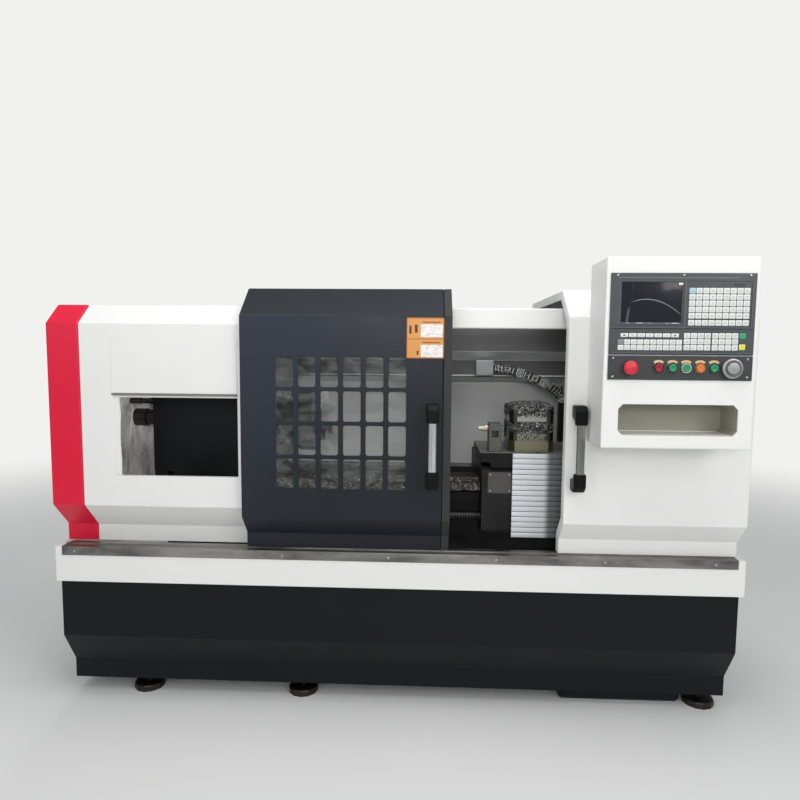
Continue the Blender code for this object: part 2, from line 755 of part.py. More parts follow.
def make_base(look):
    """The cabinet that carries everything, with a toe recess along its front and a bay for the tank."""
    front = BASE_FRONT_INSET
    toe = front + BASE_UNDERCUT_DEPTH
    rear = TRAY_DEPTH - BASE_REAR_INSET
    bevel_bottom = FOOT_HEIGHT + BASE_UNDERCUT_HEIGHT
    top = BASE_TOP - SEAT_GAP
    section = [(toe, FOOT_HEIGHT), (toe, bevel_bottom), (front, bevel_bottom + BASE_BEVEL_HEIGHT),
               (front, top), (rear, top), (rear, FOOT_HEIGHT)]
    body = prism(section, BASE_END_INSET, TRAY_LENGTH - BASE_END_INSET)
    right = TRAY_LENGTH - TANK_FROM_END
    gap = TANK_BAY_GAP
    bay = box(right - TANK_LENGTH - gap, right + gap, TANK_FRONT_INSET - SEAT_GAP, rear + CUT_OVERRUN,
              FOOT_HEIGHT - CUT_OVERRUN, TANK_HEIGHT + gap)
    return node("base_cabinet", cut(body, bay), look)


def make_feet(look):
    """Round levelling feet with a hexagon nut and a stud under the cabinet."""
    last = TRAY_LENGTH - FOOT_LAST_FROM_END
    rear = TRAY_DEPTH - BASE_REAR_INSET - FOOT_INSET + BASE_FRONT_INSET
    count = 0
    for x in (FOOT_FIRST, FOOT_SECOND, last):
        for y in (FOOT_INSET + FOOT_RADIUS / 2, rear - FOOT_RADIUS / 2):
            count += 1
            top = FOOT_HEIGHT - SEAT_GAP
            nut_top = top - FOOT_EDGE
            pad = turned([(0, FOOT_RADIUS), (FOOT_PAD_HEIGHT - FOOT_EDGE, FOOT_RADIUS),
                          (FOOT_PAD_HEIGHT, FOOT_RADIUS - FOOT_EDGE), (FOOT_PAD_HEIGHT, FOOT_STUD_RADIUS),
                          (top, FOOT_STUD_RADIUS)], (x, y, 0), 'Z', COARSE)
            nut = turned([(nut_top - FOOT_NUT_HEIGHT, FOOT_NUT_RADIUS), (nut_top, FOOT_NUT_RADIUS)],
                         (x, y, 0), 'Z', BOLT_FACES)
            node(f"levelling_foot_{count}", fuse(pad, nut), look, (x, y, 0))


def make_coolant_tank(look):
    """Tank standing on the floor in the bay under the right end, with its pump behind the cabinet."""
    right = TRAY_LENGTH - TANK_FROM_END
    left = right - TANK_LENGTH
    top = TANK_HEIGHT
    tank = bevelled(box(left, right, TANK_FRONT_INSET, TANK_REAR, 0, top), TANK_BEVEL)
    pump_y = TANK_REAR - PUMP_RADIUS - TANK_BEVEL
    pump_top = top + PUMP_HEIGHT
    shoulder = pump_top - PUMP_CAP_HEIGHT
    pump = turned([(top - TANK_BEVEL, PUMP_RADIUS), (shoulder, PUMP_RADIUS),
                   (shoulder, PUMP_RADIUS - TANK_BEVEL / 2), (pump_top, PUMP_RADIUS - TANK_BEVEL)],
                  (right - PUMP_INSET, pump_y, 0), 'Z', ROUND)
    node("coolant_tank", fuse(tank, pump), look)


def make_tray(look):
    """Chip tray: a skirt round the machine, a front ledge and a deep basin with a drain."""
    tray = box(0, TRAY_LENGTH, 0, TRAY_DEPTH, BASE_TOP, TRAY_TOP)
    basin = box(BASIN_END_WALL, TRAY_LENGTH - BASIN_END_WALL, LEDGE_DEPTH + RUN_GAP,
                TRAY_DEPTH - BASIN_REAR_WALL, TRAY_FLOOR, TRAY_TOP + CUT_OVERRUN)
    right = TRAY_LENGTH - TANK_FROM_END - CUT_OVERRUN
    drain = box(right - DRAIN_LENGTH, right, BED_REAR + CUT_OVERRUN, BED_REAR + CUT_OVERRUN + DRAIN_WIDTH,
                BASE_TOP - CUT_OVERRUN, TRAY_TOP)
    node("chip_tray", cut(cut(tray, basin), drain), look)


def make_track(look):
    """Stainless strip folded over the front edge of the tray, with a rib that the doors run on."""
    rib_y = DOOR_STRIP_BACK - DOOR_LEAD
    front = -SEAT_GAP - STRIP_THICKNESS
    low = TRAY_TOP + SEAT_GAP
    top = TRAY_TOP + STRIP_THICKNESS
    rib_top = top + TRACK_RIB_HEIGHT
    section = [(front, TRAY_TOP - STRIP_FLANGE), (front, top), (rib_y, top), (rib_y, rib_top),
               (rib_y + TRACK_RIB_WIDTH, rib_top), (rib_y + TRACK_RIB_WIDTH, top), (LEDGE_DEPTH, top),
               (LEDGE_DEPTH, low), (-SEAT_GAP, low), (-SEAT_GAP, TRAY_TOP - STRIP_FLANGE)]
    node("track_strip", prism(section, STRIP_END_INSET, TRAY_LENGTH - STRIP_END_INSET), look)


def make_bed(look):
    """Cast bed with a vee way and a flat way, chip pockets between them and lugs for the screw."""
    z0 = TRAY_FLOOR + SEAT_GAP
    z1 = BED_TOP
    y0 = BED_FRONT
    y1 = BED_REAR
    under = z1 - BED_WAY_DEPTH
    wall0 = y0 + BED_WAY_OVERHANG
    wall1 = y1 - BED_WAY_OVERHANG
    vee = y0 + VEE_INSET
    section = [(wall0, z0), (wall0, under - BED_WAY_OVERHANG), (y0, under), (y0, z1), (vee, z1),
               (vee + VEE_WIDTH / 2, z1 + VEE_HEIGHT), (vee + VEE_WIDTH, z1), (y1, z1), (y1, under),
               (wall1, under - BED_WAY_OVERHANG), (wall1, z0)]
    bed = prism(section, BED_LEFT, BED_RIGHT)
    start = WALL_RIGHT + SCREW_LUG_LENGTH
    pitch = (BED_RIGHT - start) / POCKET_COUNT
    pockets = []
    for i in range(POCKET_COUNT):
        left = start + pitch * i
        pockets.append(box(left, left + pitch - POCKET_RIB, y0 + BED_WAY_WIDTH, y1 - BED_WAY_WIDTH,
                           z1 - POCKET_DEPTH, z1 + CUT_OVERRUN))
    bed = cut(bed, gather(pockets))
    for left in (screw_lug_left(), screw_lug_right()):
        lug = box(left, left + SCREW_LUG_LENGTH, SCREW_Y - SCREW_LUG_SIZE / 2, wall0 + BED_WAY_OVERHANG / 2,
                  SCREW_HEIGHT - SCREW_LUG_SIZE / 2, SCREW_HEIGHT + SCREW_LUG_SIZE / 2)
        bore = turned([(left - CUT_OVERRUN, SCREW_JOURNAL_RADIUS + JOURNAL_CLEARANCE),
                       (left + SCREW_LUG_LENGTH + CUT_OVERRUN, SCREW_JOURNAL_RADIUS + JOURNAL_CLEARANCE)],
                      (0, SCREW_Y, SCREW_HEIGHT), 'X', SMALL)
        bed = cut(fuse(bed, lug), bore)
    node("bed", bed, look)


def screw_lug_left():
    """Left end of the bearing lug beside the headstock."""
    return WALL_RIGHT + WALL_NOTCH_GAP


def screw_lug_right():
    """Left end of the bearing lug beside the servo motor."""
    return BED_RIGHT - Z_MOTOR_LENGTH - SCREW_LUG_LENGTH


def make_z_screw(look):
    """Ball screw along the bed, turned down to a journal at each end."""
    left = screw_lug_left()
    right = screw_lug_right()
    body0 = left + SCREW_LUG_LENGTH + RUN_GAP
    body1 = right - RUN_GAP
    end = right + SCREW_LUG_LENGTH
    profile = [(left, SCREW_JOURNAL_RADIUS), (body0, SCREW_JOURNAL_RADIUS), (body0, SCREW_RADIUS),
               (body1, SCREW_RADIUS), (body1, SCREW_JOURNAL_RADIUS), (end, SCREW_JOURNAL_RADIUS)]
    centre = (0, SCREW_Y, SCREW_HEIGHT)
    node("z_ball_screw", turned(profile, centre, 'X', ROUND), look, (left, SCREW_Y, SCREW_HEIGHT), True)


def servo_motor(length, size, x, y, z, axis):
    """Square servo motor with a smaller round-edged end cap, pointing along +x or +y."""
    half = size / 2
    low = half - SERVO_CAP_STEP
    flange = length - SERVO_CAP_LENGTH
    if axis == 'X':
        body = bevelled(box(x, x + flange, y - half, y + half, z - half, z + half), SERVO_CAP_STEP)
        cap = bevelled(box(x + flange - SERVO_CAP_STEP * 2, x + length, y - low, y + low, z - low, z + low),
                       SERVO_CAP_STEP / 2)
    else:
        body = bevelled(box(x - half, x + half, y, y + flange, z - half, z + half), SERVO_CAP_STEP)
        cap = bevelled(box(x - low, x + low, y + flange - SERVO_CAP_STEP * 2, y + length, z - low, z + low),
                       SERVO_CAP_STEP / 2)
    return fuse(body, cap)


def make_motors(look):
    """Servo motors: one at the right end of the bed and one behind the saddle."""
    left = screw_lug_right() + SCREW_LUG_LENGTH + SEAT_GAP
    motor = servo_motor(Z_MOTOR_LENGTH, Z_MOTOR_SIZE, left, SCREW_Y, SCREW_HEIGHT, 'X')
    node("z_servo_motor", motor, look)
    motor = servo_motor(X_MOTOR_LENGTH, X_MOTOR_SIZE, SADDLE_X, SADDLE_REAR + SEAT_GAP,
                        SADDLE_TOP, 'Y')
    node("x_servo_motor", motor, look)


def vee_groove():
    """Outline of the groove that fits over the bed's vee way, from its rear edge to its front edge."""
    vee = BED_FRONT + VEE_INSET
    z0 = BED_TOP + SEAT_GAP
    return [(vee + VEE_WIDTH + SEAT_GAP * 2, z0), (vee + VEE_WIDTH / 2, z0 + VEE_HEIGHT + SEAT_GAP),
            (vee - SEAT_GAP * 2, z0)]


def headstock_top():
    """Upper outline of the headstock, with its two long edges chamfered."""
    c = HEADSTOCK_CHAMFER
    return [(HEADSTOCK_FRONT, HEADSTOCK_TOP - c), (HEADSTOCK_FRONT + c, HEADSTOCK_TOP),
            (HEADSTOCK_REAR - c, HEADSTOCK_TOP), (HEADSTOCK_REAR, HEADSTOCK_TOP - c)]


def make_headstock(look):
    """Headstock casting over the left end of the bed, with a round nose and a bore for the spindle."""
    z0 = BED_TOP + SEAT_GAP
    section = [(HEADSTOCK_FRONT, z0)] + headstock_top() + [(HEADSTOCK_REAR, z0)] + vee_groove()
    right = HEADSTOCK_RIGHT - HEADSTOCK_NOSE_LENGTH
    body = prism(section, HEADSTOCK_LEFT, right)
    centre = (0, SPINDLE_Y, SPINDLE_Z)
    nose_end = WALL_RIGHT + HEADSTOCK_NOSE_LENGTH - RUN_GAP
    nose = turned([(right - CUT_OVERRUN, HEADSTOCK_NOSE_RADIUS),
                   (nose_end, HEADSTOCK_NOSE_RADIUS - HEADSTOCK_NOSE_LENGTH)], centre, 'X', ROUND)
    bore = turned([(HEADSTOCK_LEFT - CUT_OVERRUN, SPINDLE_BODY_RADIUS + SEAT_GAP),
                   (CHUCK_LEFT, SPINDLE_BODY_RADIUS + SEAT_GAP)], centre, 'X', ROUND)
    node("headstock", cut(fuse(body, nose), bore), look)


def make_belt_guard(look):
    """Guard over the belt drive, from the spindle down and back to the main motor."""
    motor_y = SPINDLE_Y + MOTOR_BACK
    motor_z = SPINDLE_Z - MOTOR_DROP
    low = BED_TOP + VEE_HEIGHT + RUN_GAP
    section = [(HEADSTOCK_FRONT, low)] + headstock_top()
    steps = COARSE // 2
    for i in range(steps + 1):
        turn = math.radians(GUARD_END_START - GUARD_END_TURN * i / steps)
        section.append((motor_y + GUARD_END_RADIUS * math.cos(turn),
                        motor_z + GUARD_END_RADIUS * math.sin(turn)))
    section.append((BED_REAR + CUT_OVERRUN, low))
    body = prism(section, GUARD_LEFT, GUARD_LEFT + GUARD_WIDTH)
    hole = turned([(GUARD_LEFT - CUT_OVERRUN, SPINDLE_SHAFT_RADIUS + SPINDLE_CLEARANCE),
                   (HEADSTOCK_LEFT + CUT_OVERRUN, SPINDLE_SHAFT_RADIUS + SPINDLE_CLEARANCE)],
                  (0, SPINDLE_Y, SPINDLE_Z), 'X', ROUND)
    encoder_z = SPINDLE_Z + ENCODER_RISE
    encoder_left = GUARD_LEFT - ENCODER_LENGTH
    encoder = turned([(encoder_left, ENCODER_RADIUS - SHEET), (encoder_left + SHEET, ENCODER_RADIUS),
                      (GUARD_LEFT + CUT_OVERRUN, ENCODER_RADIUS)], (0, SPINDLE_Y, encoder_z), 'X', SMALL)
    node("belt_guard", fuse(cut(body, hole), encoder), look)


def make_main_motor(look):
    """Main motor behind the headstock, with cooling ribs, a foot plate and a terminal box."""
    y = SPINDLE_Y + MOTOR_BACK
    z = SPINDLE_Z - MOTOR_DROP
    left = GUARD_LEFT + GUARD_WIDTH + SEAT_GAP
    right = left + MOTOR_LENGTH
    groove = MOTOR_RADIUS - MOTOR_RIB_DEPTH
    profile = [(left, MOTOR_RADIUS)]
    step = MOTOR_LENGTH / (MOTOR_RIB_COUNT * 2 + 1)
    start = left + step
    for _ in range(MOTOR_RIB_COUNT):
        end = start + step
        profile += [(start, MOTOR_RADIUS), (start, groove), (end, groove), (end, MOTOR_RADIUS)]
        start = end + step
    profile += [(right, MOTOR_RADIUS), (right, MOTOR_RADIUS - HEADSTOCK_CHAMFER)]
    body = turned(profile, (0, y, z), 'X', ROUND)
    foot = box(left + step, right - step, y - MOTOR_FOOT_WIDTH / 2, y + MOTOR_FOOT_WIDTH / 2,
               TRAY_TOP + SEAT_GAP, z - MOTOR_RADIUS / 2)
    box_left = (left + right - MOTOR_BOX_SIZE) / 2
    terminal = box(box_left, box_left + MOTOR_BOX_SIZE, y - MOTOR_BOX_SIZE / 2, y + MOTOR_BOX_SIZE / 2,
                   z + MOTOR_RADIUS / 2, z + MOTOR_RADIUS + MOTOR_BOX_HEIGHT / 2)
    node("spindle_motor", fuse(body, foot, terminal), look)


def make_spindle(look):
    """Hollow spindle: tail collar, shaft, bearing length and the flange that carries the chuck."""
    x0 = GUARD_LEFT - SPINDLE_TAIL_REACH
    x1 = x0 + SPINDLE_TAIL_COLLAR
    x2 = HEADSTOCK_LEFT + SPINDLE_CLEARANCE
    x3 = CHUCK_LEFT - SPINDLE_FLANGE_LENGTH
    x4 = CHUCK_LEFT
    profile = [(x0, SPINDLE_BORE), (x0, SPINDLE_TAIL_RADIUS), (x1, SPINDLE_TAIL_RADIUS),
               (x1, SPINDLE_SHAFT_RADIUS), (x2, SPINDLE_SHAFT_RADIUS), (x2, SPINDLE_BODY_RADIUS),
               (x3, SPINDLE_BODY_RADIUS), (x3, SPINDLE_FLANGE_RADIUS), (x4, SPINDLE_FLANGE_RADIUS),
               (x4, SPINDLE_BORE)]
    centre = (0, SPINDLE_Y, SPINDLE_Z)
    node("spindle", turned(profile, centre, 'X', ROUND, True), look, (x4, SPINDLE_Y, SPINDLE_Z), True)


def round_spindle(bm, number):
    """Turn a shape made along y, across z, to one jaw's radial line round the spindle axis."""
    turn = math.pi / 2 + 2 * math.pi * number / JAW_COUNT
    for v in bm.verts:
        radial, across = v.co.y, v.co.z
        v.co.y = SPINDLE_Y + radial * math.cos(turn) - across * math.sin(turn)
        v.co.z = SPINDLE_Z + radial * math.sin(turn) + across * math.cos(turn)
    return bm


def jaw_outline():
    """Stepped side view of a jaw, as places along the spindle and radii."""
    outer = JAW_INNER + JAW_LENGTH
    bottom = CHUCK_RIGHT - JAW_SLOT_DEPTH + JAW_CLEARANCE
    points = [(bottom, outer), (bottom, JAW_INNER)]
    for step in range(JAW_STEP_COUNT):
        inner = JAW_INNER + JAW_LENGTH * JAW_STEP_SHARE * step / JAW_STEP_COUNT
        start = CHUCK_RIGHT + JAW_STEP_HEIGHT * step
        points += [(start, inner), (start + JAW_STEP_HEIGHT, inner)]
    points.append((CHUCK_RIGHT + JAW_STEP_HEIGHT * JAW_STEP_COUNT, outer))
    return list(dict.fromkeys(points))


def make_chuck(body_look, jaw_look):
    """Three-jaw chuck on the spindle flange: back plate, body with radial slots, and stepped jaws."""
    x0 = CHUCK_LEFT + SEAT_GAP
    x1 = CHUCK_RIGHT
    step = x0 + CHUCK_PLATE_LENGTH
    rounded = CHUCK_RADIUS - CHUCK_EDGE
    profile = [(x0, CHUCK_BORE), (x0, CHUCK_PLATE_RADIUS), (step, CHUCK_PLATE_RADIUS), (step, rounded),
               (step + CHUCK_EDGE, CHUCK_RADIUS), (x1 - CHUCK_EDGE, CHUCK_RADIUS), (x1, rounded),
               (x1, CHUCK_BORE)]
    centre = (0, SPINDLE_Y, SPINDLE_Z)
    body = turned(profile, centre, 'X', FINE, True)
    half = JAW_WIDTH / 2
    slots = []
    for number in range(JAW_COUNT):
        slot = box(x1 - JAW_SLOT_DEPTH, x1 + CUT_OVERRUN, CHUCK_BORE / 2, CHUCK_RADIUS + CUT_OVERRUN,
                   -half, half)
        slots.append(round_spindle(slot, number))
    body = cut(body, gather(slots))
    node("chuck_body", body, body_look, (x0, SPINDLE_Y, SPINDLE_Z), True)
    side = half - JAW_CLEARANCE
    for number in range(JAW_COUNT):
        jaw = prism(jaw_outline(), -side, side, 'Z')
        turn = math.pi / 2 + 2 * math.pi * number / JAW_COUNT
        pivot = (x1, SPINDLE_Y + JAW_INNER * math.cos(turn), SPINDLE_Z + JAW_INNER * math.sin(turn))
        node(f"chuck_jaw_{number + 1}", round_spindle(jaw, number), jaw_look, pivot)


def make_saddle(look):
    """Saddle astride the ways with its apron, the dovetail for the cross slide and the chain post."""
    z0 = BED_TOP + SEAT_GAP
    apron_rear = BED_FRONT - APRON_BED_GAP
    keeper = BED_REAR + APRON_BED_GAP
    way_bottom = BED_TOP - BED_WAY_DEPTH
    section = [(SADDLE_FRONT + APRON_BEVEL, APRON_BOTTOM), (SADDLE_FRONT, APRON_BOTTOM + APRON_BEVEL),
               (SADDLE_FRONT, SADDLE_TOP - APRON_BEVEL), (SADDLE_FRONT + APRON_BEVEL, SADDLE_TOP),
               (SADDLE_REAR, SADDLE_TOP), (SADDLE_REAR, way_bottom), (keeper, way_bottom), (keeper, z0)]
    section += vee_groove() + [(apron_rear, z0), (apron_rear, APRON_BOTTOM)]
    body = prism(section, SADDLE_LEFT, SADDLE_RIGHT)
    half = DOVETAIL_WIDTH / 2
    top = SADDLE_TOP + DOVETAIL_HEIGHT
    dovetail = [(SADDLE_X - half, SADDLE_TOP - APRON_BEVEL / 2), (SADDLE_X - half, SADDLE_TOP),
                (SADDLE_X - half - DOVETAIL_SPREAD, top), (SADDLE_X + half + DOVETAIL_SPREAD, top),
                (SADDLE_X + half, SADDLE_TOP), (SADDLE_X + half, SADDLE_TOP - APRON_BEVEL / 2)]
    ridge = prism(dovetail, SADDLE_FRONT + APRON_BEVEL, SADDLE_REAR - RUN_GAP, 'Y')
    post_right = SADDLE_RIGHT - RUN_GAP
    post_rear = SADDLE_REAR - RUN_GAP
    post = box(post_right - CHAIN_POST_SIZE, post_right, post_rear - CHAIN_POST_SIZE, post_rear,
               SADDLE_TOP - APRON_BEVEL / 2, CHAIN_POST_TOP)
    hole = turned([(SADDLE_LEFT - CUT_OVERRUN, SCREW_RADIUS + SCREW_HOLE_GAP),
                   (SADDLE_RIGHT + CUT_OVERRUN, SCREW_RADIUS + SCREW_HOLE_GAP)],
                  (0, SCREW_Y, SCREW_HEIGHT), 'X', SMALL)
    saddle = cut(fuse(body, ridge, post), hole)
    node("saddle", saddle, look, (SADDLE_X, BED_FRONT, BED_TOP))


def make_curtain(look):
    """Curtain of aluminium slats hanging over the front of the apron."""
    top = CROSS_TOP - SEAT_GAP
    rear = SADDLE_FRONT - SEAT_GAP - CURTAIN_GAP / 2
    front = rear - CURTAIN_THICKNESS
    pitch = (top - CURTAIN_BOTTOM) / SLAT_COUNT
    outline = [(rear, CURTAIN_BOTTOM)]
    for i in range(SLAT_COUNT):
        z = CURTAIN_BOTTOM + pitch * i
        outline += [(front + SLAT_GROOVE_DEPTH, z), (front, z + SLAT_GROOVE),
                    (front, z + pitch - SLAT_GROOVE)]
    outline += [(front + SLAT_GROOVE_DEPTH, top), (rear, top)]
    left = SADDLE_X - CURTAIN_WIDTH / 2
    body = prism(outline, left, left + CURTAIN_WIDTH)
    hanger_z = SADDLE_TOP - APRON_BEVEL * 2
    hanger = box(SADDLE_X - CURTAIN_WIDTH / 4, SADDLE_X + CURTAIN_WIDTH / 4, rear - CURTAIN_THICKNESS / 2,
                 SADDLE_FRONT - SEAT_GAP, hanger_z - APRON_BEVEL, hanger_z)
    node("slat_curtain", fuse(body, hanger), look)


def make_cross_slide(look):
    """Cross slide on the dovetail, with a narrower neck and a tee slot along its top."""
    left = SADDLE_X - CROSS_LEFT_REACH
    right = SADDLE_X + CROSS_RIGHT_REACH
    front = CROSS_FRONT
    rear = CROSS_FRONT + CROSS_LENGTH
    low = SADDLE_TOP + SEAT_GAP
    neck_top = CROSS_TOP - CROSS_PLATE
    half = DOVETAIL_WIDTH / 2 + RUN_GAP
    groove_top = SADDLE_TOP + DOVETAIL_HEIGHT + SEAT_GAP
    slot = TEE_SLOT_WIDTH / 2
    outline = [(left, neck_top), (left, CROSS_TOP), (SADDLE_X - slot, CROSS_TOP),
               (SADDLE_X - slot, CROSS_TOP - TEE_SLOT_DEPTH), (SADDLE_X + slot, CROSS_TOP - TEE_SLOT_DEPTH),
               (SADDLE_X + slot, CROSS_TOP), (right, CROSS_TOP), (right, neck_top),
               (right - CROSS_NECK_INSET, neck_top), (right - CROSS_NECK_INSET, low),
               (SADDLE_X + half, low),
               (SADDLE_X + half + DOVETAIL_SPREAD, groove_top),
               (SADDLE_X - half - DOVETAIL_SPREAD, groove_top),
               (SADDLE_X - half, low), (left + CROSS_NECK_INSET, low), (left + CROSS_NECK_INSET, neck_top)]
    body = prism(outline, front, rear, 'Y')
    node("cross_slide", body, look, (SADDLE_X, CROSS_FRONT, CROSS_TOP))


def octagon(size, chamfer):
    """Square outline with its corners cut off, centred on the turret."""
    half = size / 2
    c = chamfer
    points = [(half, -half + c), (half, half - c), (half - c, half), (-half + c, half), (-half, half - c),
              (-half, -half + c), (-half + c, -half), (half - c, -half)]
    return [(TURRET_X + a, TURRET_Y + b) for a, b in points]


def make_turret(base_look, head_look):
    """Turret: fixed base on the cross slide and a turning head with a tool slot round it."""
    low = CROSS_TOP + SEAT_GAP
    base = prism(octagon(TURRET_BASE_SIZE, TURRET_BASE_CHAMFER), low, TURRET_BASE_TOP, 'Z')
    node("turret_base", base, base_look)
    head0 = TURRET_BASE_TOP + SEAT_GAP
    slot0 = head0 + TURRET_SLOT_BOTTOM
    slot1 = slot0 + TURRET_SLOT_HEIGHT
    head1 = head0 + TURRET_HEAD_HEIGHT
    c = TURRET_HEAD_CHAMFER
    outer = octagon(TURRET_HEAD_SIZE, c)
    inner = octagon(TURRET_HEAD_SIZE - TURRET_SLOT_DEPTH * 2, c)
    top = octagon(TURRET_HEAD_SIZE - c, c)
    bm = bmesh.new()
    rings = []
    for outline, z in ((outer, head0), (outer, slot0), (inner, slot0), (inner, slot1), (outer, slot1),
                       (outer, head1 - c / 2), (top, head1)):
        rings.append([bm.verts.new((x, y, z)) for x, y in outline])
    for a, b in zip(rings, rings[1:]):
        join_rings(bm, a, b)
    bm.faces.new(rings[0])
    bm.faces.new(rings[-1])
    shoulder = head1 + TURRET_CAP_HEIGHT * TURRET_CAP_SHOULDER_SHARE
    cap = turned([(head1 - c, TURRET_CAP_RADIUS), (shoulder, TURRET_CAP_RADIUS),
                  (head1 + TURRET_CAP_HEIGHT, TURRET_CAP_RADIUS * TURRET_CAP_TOP_SHARE)],
                 (TURRET_X, TURRET_Y, 0), 'Z', ROUND)
    bolts = []
    reach = TURRET_HEAD_SIZE / 2 - TURRET_SLOT_DEPTH / 2
    spread = (TURRET_HEAD_SIZE - TURRET_SLOT_DEPTH * 2) * TURRET_BOLT_SPREAD_SHARE
    pitch = spread / (TURRET_BOLTS_PER_SIDE - 1)
    for side in range(TURRET_SIDES):
        turn = 2 * math.pi * side / TURRET_SIDES
        for i in range(TURRET_BOLTS_PER_SIDE):
            along = (i - (TURRET_BOLTS_PER_SIDE - 1) / 2) * pitch
            x = TURRET_X + reach * math.cos(turn) - along * math.sin(turn)
            y = TURRET_Y + reach * math.sin(turn) + along * math.cos(turn)
            bolts.append(turned([(head1 - c, TURRET_BOLT_RADIUS),
                                 (head1 + TURRET_BOLT_HEIGHT, TURRET_BOLT_RADIUS)],
                                (x, y, 0), 'Z', BOLT_FACES))
    head = fuse(bm, cap, gather(bolts))
    node("turret_head", head, head_look, (TURRET_X, TURRET_Y, head0))


def make_coolant_block(look):
    """Coolant block beside the turret, with a square hole and a nozzle towards the chuck."""
    turn_radius = math.hypot(TURRET_HEAD_SIZE / 2, TURRET_HEAD_SIZE / 2 - TURRET_HEAD_CHAMFER)
    right = TURRET_X - turn_radius - COOLANT_BLOCK_GAP
    left = right - COOLANT_BLOCK_LENGTH
    front = CROSS_FRONT + COOLANT_BLOCK_BASE
    low = CROSS_TOP + SEAT_GAP
    top = low + COOLANT_BLOCK_HEIGHT
    body = bevelled(box(left, right, front, front + COOLANT_BLOCK_DEPTH, low, top), SHEET / 2)
    hole_top = top - COOLANT_BLOCK_HOLE_TOP
    middle = (left + right) / 2
    hole = box(middle - COOLANT_BLOCK_HOLE / 2, middle + COOLANT_BLOCK_HOLE / 2, front - CUT_OVERRUN,
               front + COOLANT_BLOCK_DEPTH / 2, hole_top - COOLANT_BLOCK_HOLE, hole_top)
    nozzle = turned([(left - NOZZLE_LENGTH, NOZZLE_TIP_RADIUS), (left - NOZZLE_LENGTH / 2, NOZZLE_RADIUS),
                     (left + COOLANT_BLOCK_HOLE / 4, NOZZLE_RADIUS)],
                    (0, front + COOLANT_BLOCK_DEPTH / 2, top - NOZZLE_DROP), 'X', SMALL)
    node("coolant_block", fuse(cut(body, hole), nozzle), look)


def make_tailstock(body_look, quill_look, wheel_look):
    """Tailstock on the ways, with its quill and centre and the handwheel that drives them."""
    left = TAILSTOCK_LEFT
    right = TAILSTOCK_RIGHT
    z0 = BED_TOP + SEAT_GAP
    y0 = BED_FRONT + TAILSTOCK_SKIRT
    y1 = BED_REAR - TAILSTOCK_SKIRT
    base_top = z0 + TAILSTOCK_BASE_HEIGHT
    neck = (y1 - y0) * TAILSTOCK_NECK_SHARE / 2
    cheek = TAILSTOCK_BARREL * TAILSTOCK_CHEEK_SHARE
    section = [(y0, z0), (y0, base_top), (SPINDLE_Y - neck, base_top + TAILSTOCK_SKIRT),
               (SPINDLE_Y - cheek, SPINDLE_Z), (SPINDLE_Y + cheek, SPINDLE_Z),
               (SPINDLE_Y + neck, base_top + TAILSTOCK_SKIRT), (y1, base_top), (y1, z0)] + vee_groove()
    body = prism(section, left + TAILSTOCK_SKIRT, right - TAILSTOCK_SKIRT)
    centre = (0, SPINDLE_Y, SPINDLE_Z)
    barrel = turned([(left, TAILSTOCK_BARREL - TAILSTOCK_SKIRT), (left + TAILSTOCK_SKIRT, TAILSTOCK_BARREL),
                     (right - TAILSTOCK_SKIRT, TAILSTOCK_BARREL),
                     (right, TAILSTOCK_BARREL - TAILSTOCK_SKIRT)],
                    centre, 'X', ROUND)
    depth = right - WHEEL_SHAFT_LENGTH - TAILSTOCK_SKIRT
    bore = turned([(left - CUT_OVERRUN, QUILL_RADIUS + SEAT_GAP), (depth, QUILL_RADIUS + SEAT_GAP)],
                  centre, 'X', ROUND)
    shaft_hole = turned([(depth - TAILSTOCK_SKIRT, WHEEL_SHAFT_RADIUS + SEAT_GAP),
                         (right + CUT_OVERRUN, WHEEL_SHAFT_RADIUS + SEAT_GAP)], centre, 'X', SMALL)
    node("tailstock_body", cut(cut(fuse(body, barrel), bore), shaft_hole), body_look)
    quill_left = left - QUILL_SHOWN
    quill = turned([(quill_left - CENTRE_LENGTH, 0), (quill_left - CENTRE_LENGTH / 2, CENTRE_RADIUS),
                    (quill_left, CENTRE_RADIUS), (quill_left, QUILL_RADIUS - SHEET),
                    (quill_left + SHEET, QUILL_RADIUS), (depth - RUN_GAP, QUILL_RADIUS),
                    (depth - RUN_GAP, 0)],
                   centre, 'X', ROUND)
    node("tailstock_quill", quill, quill_look, (quill_left, SPINDLE_Y, SPINDLE_Z), True)
    wheel_x = right + RUN_GAP
    node("tailstock_handwheel", handwheel(wheel_x), wheel_look, (wheel_x, SPINDLE_Y, SPINDLE_Z), True)


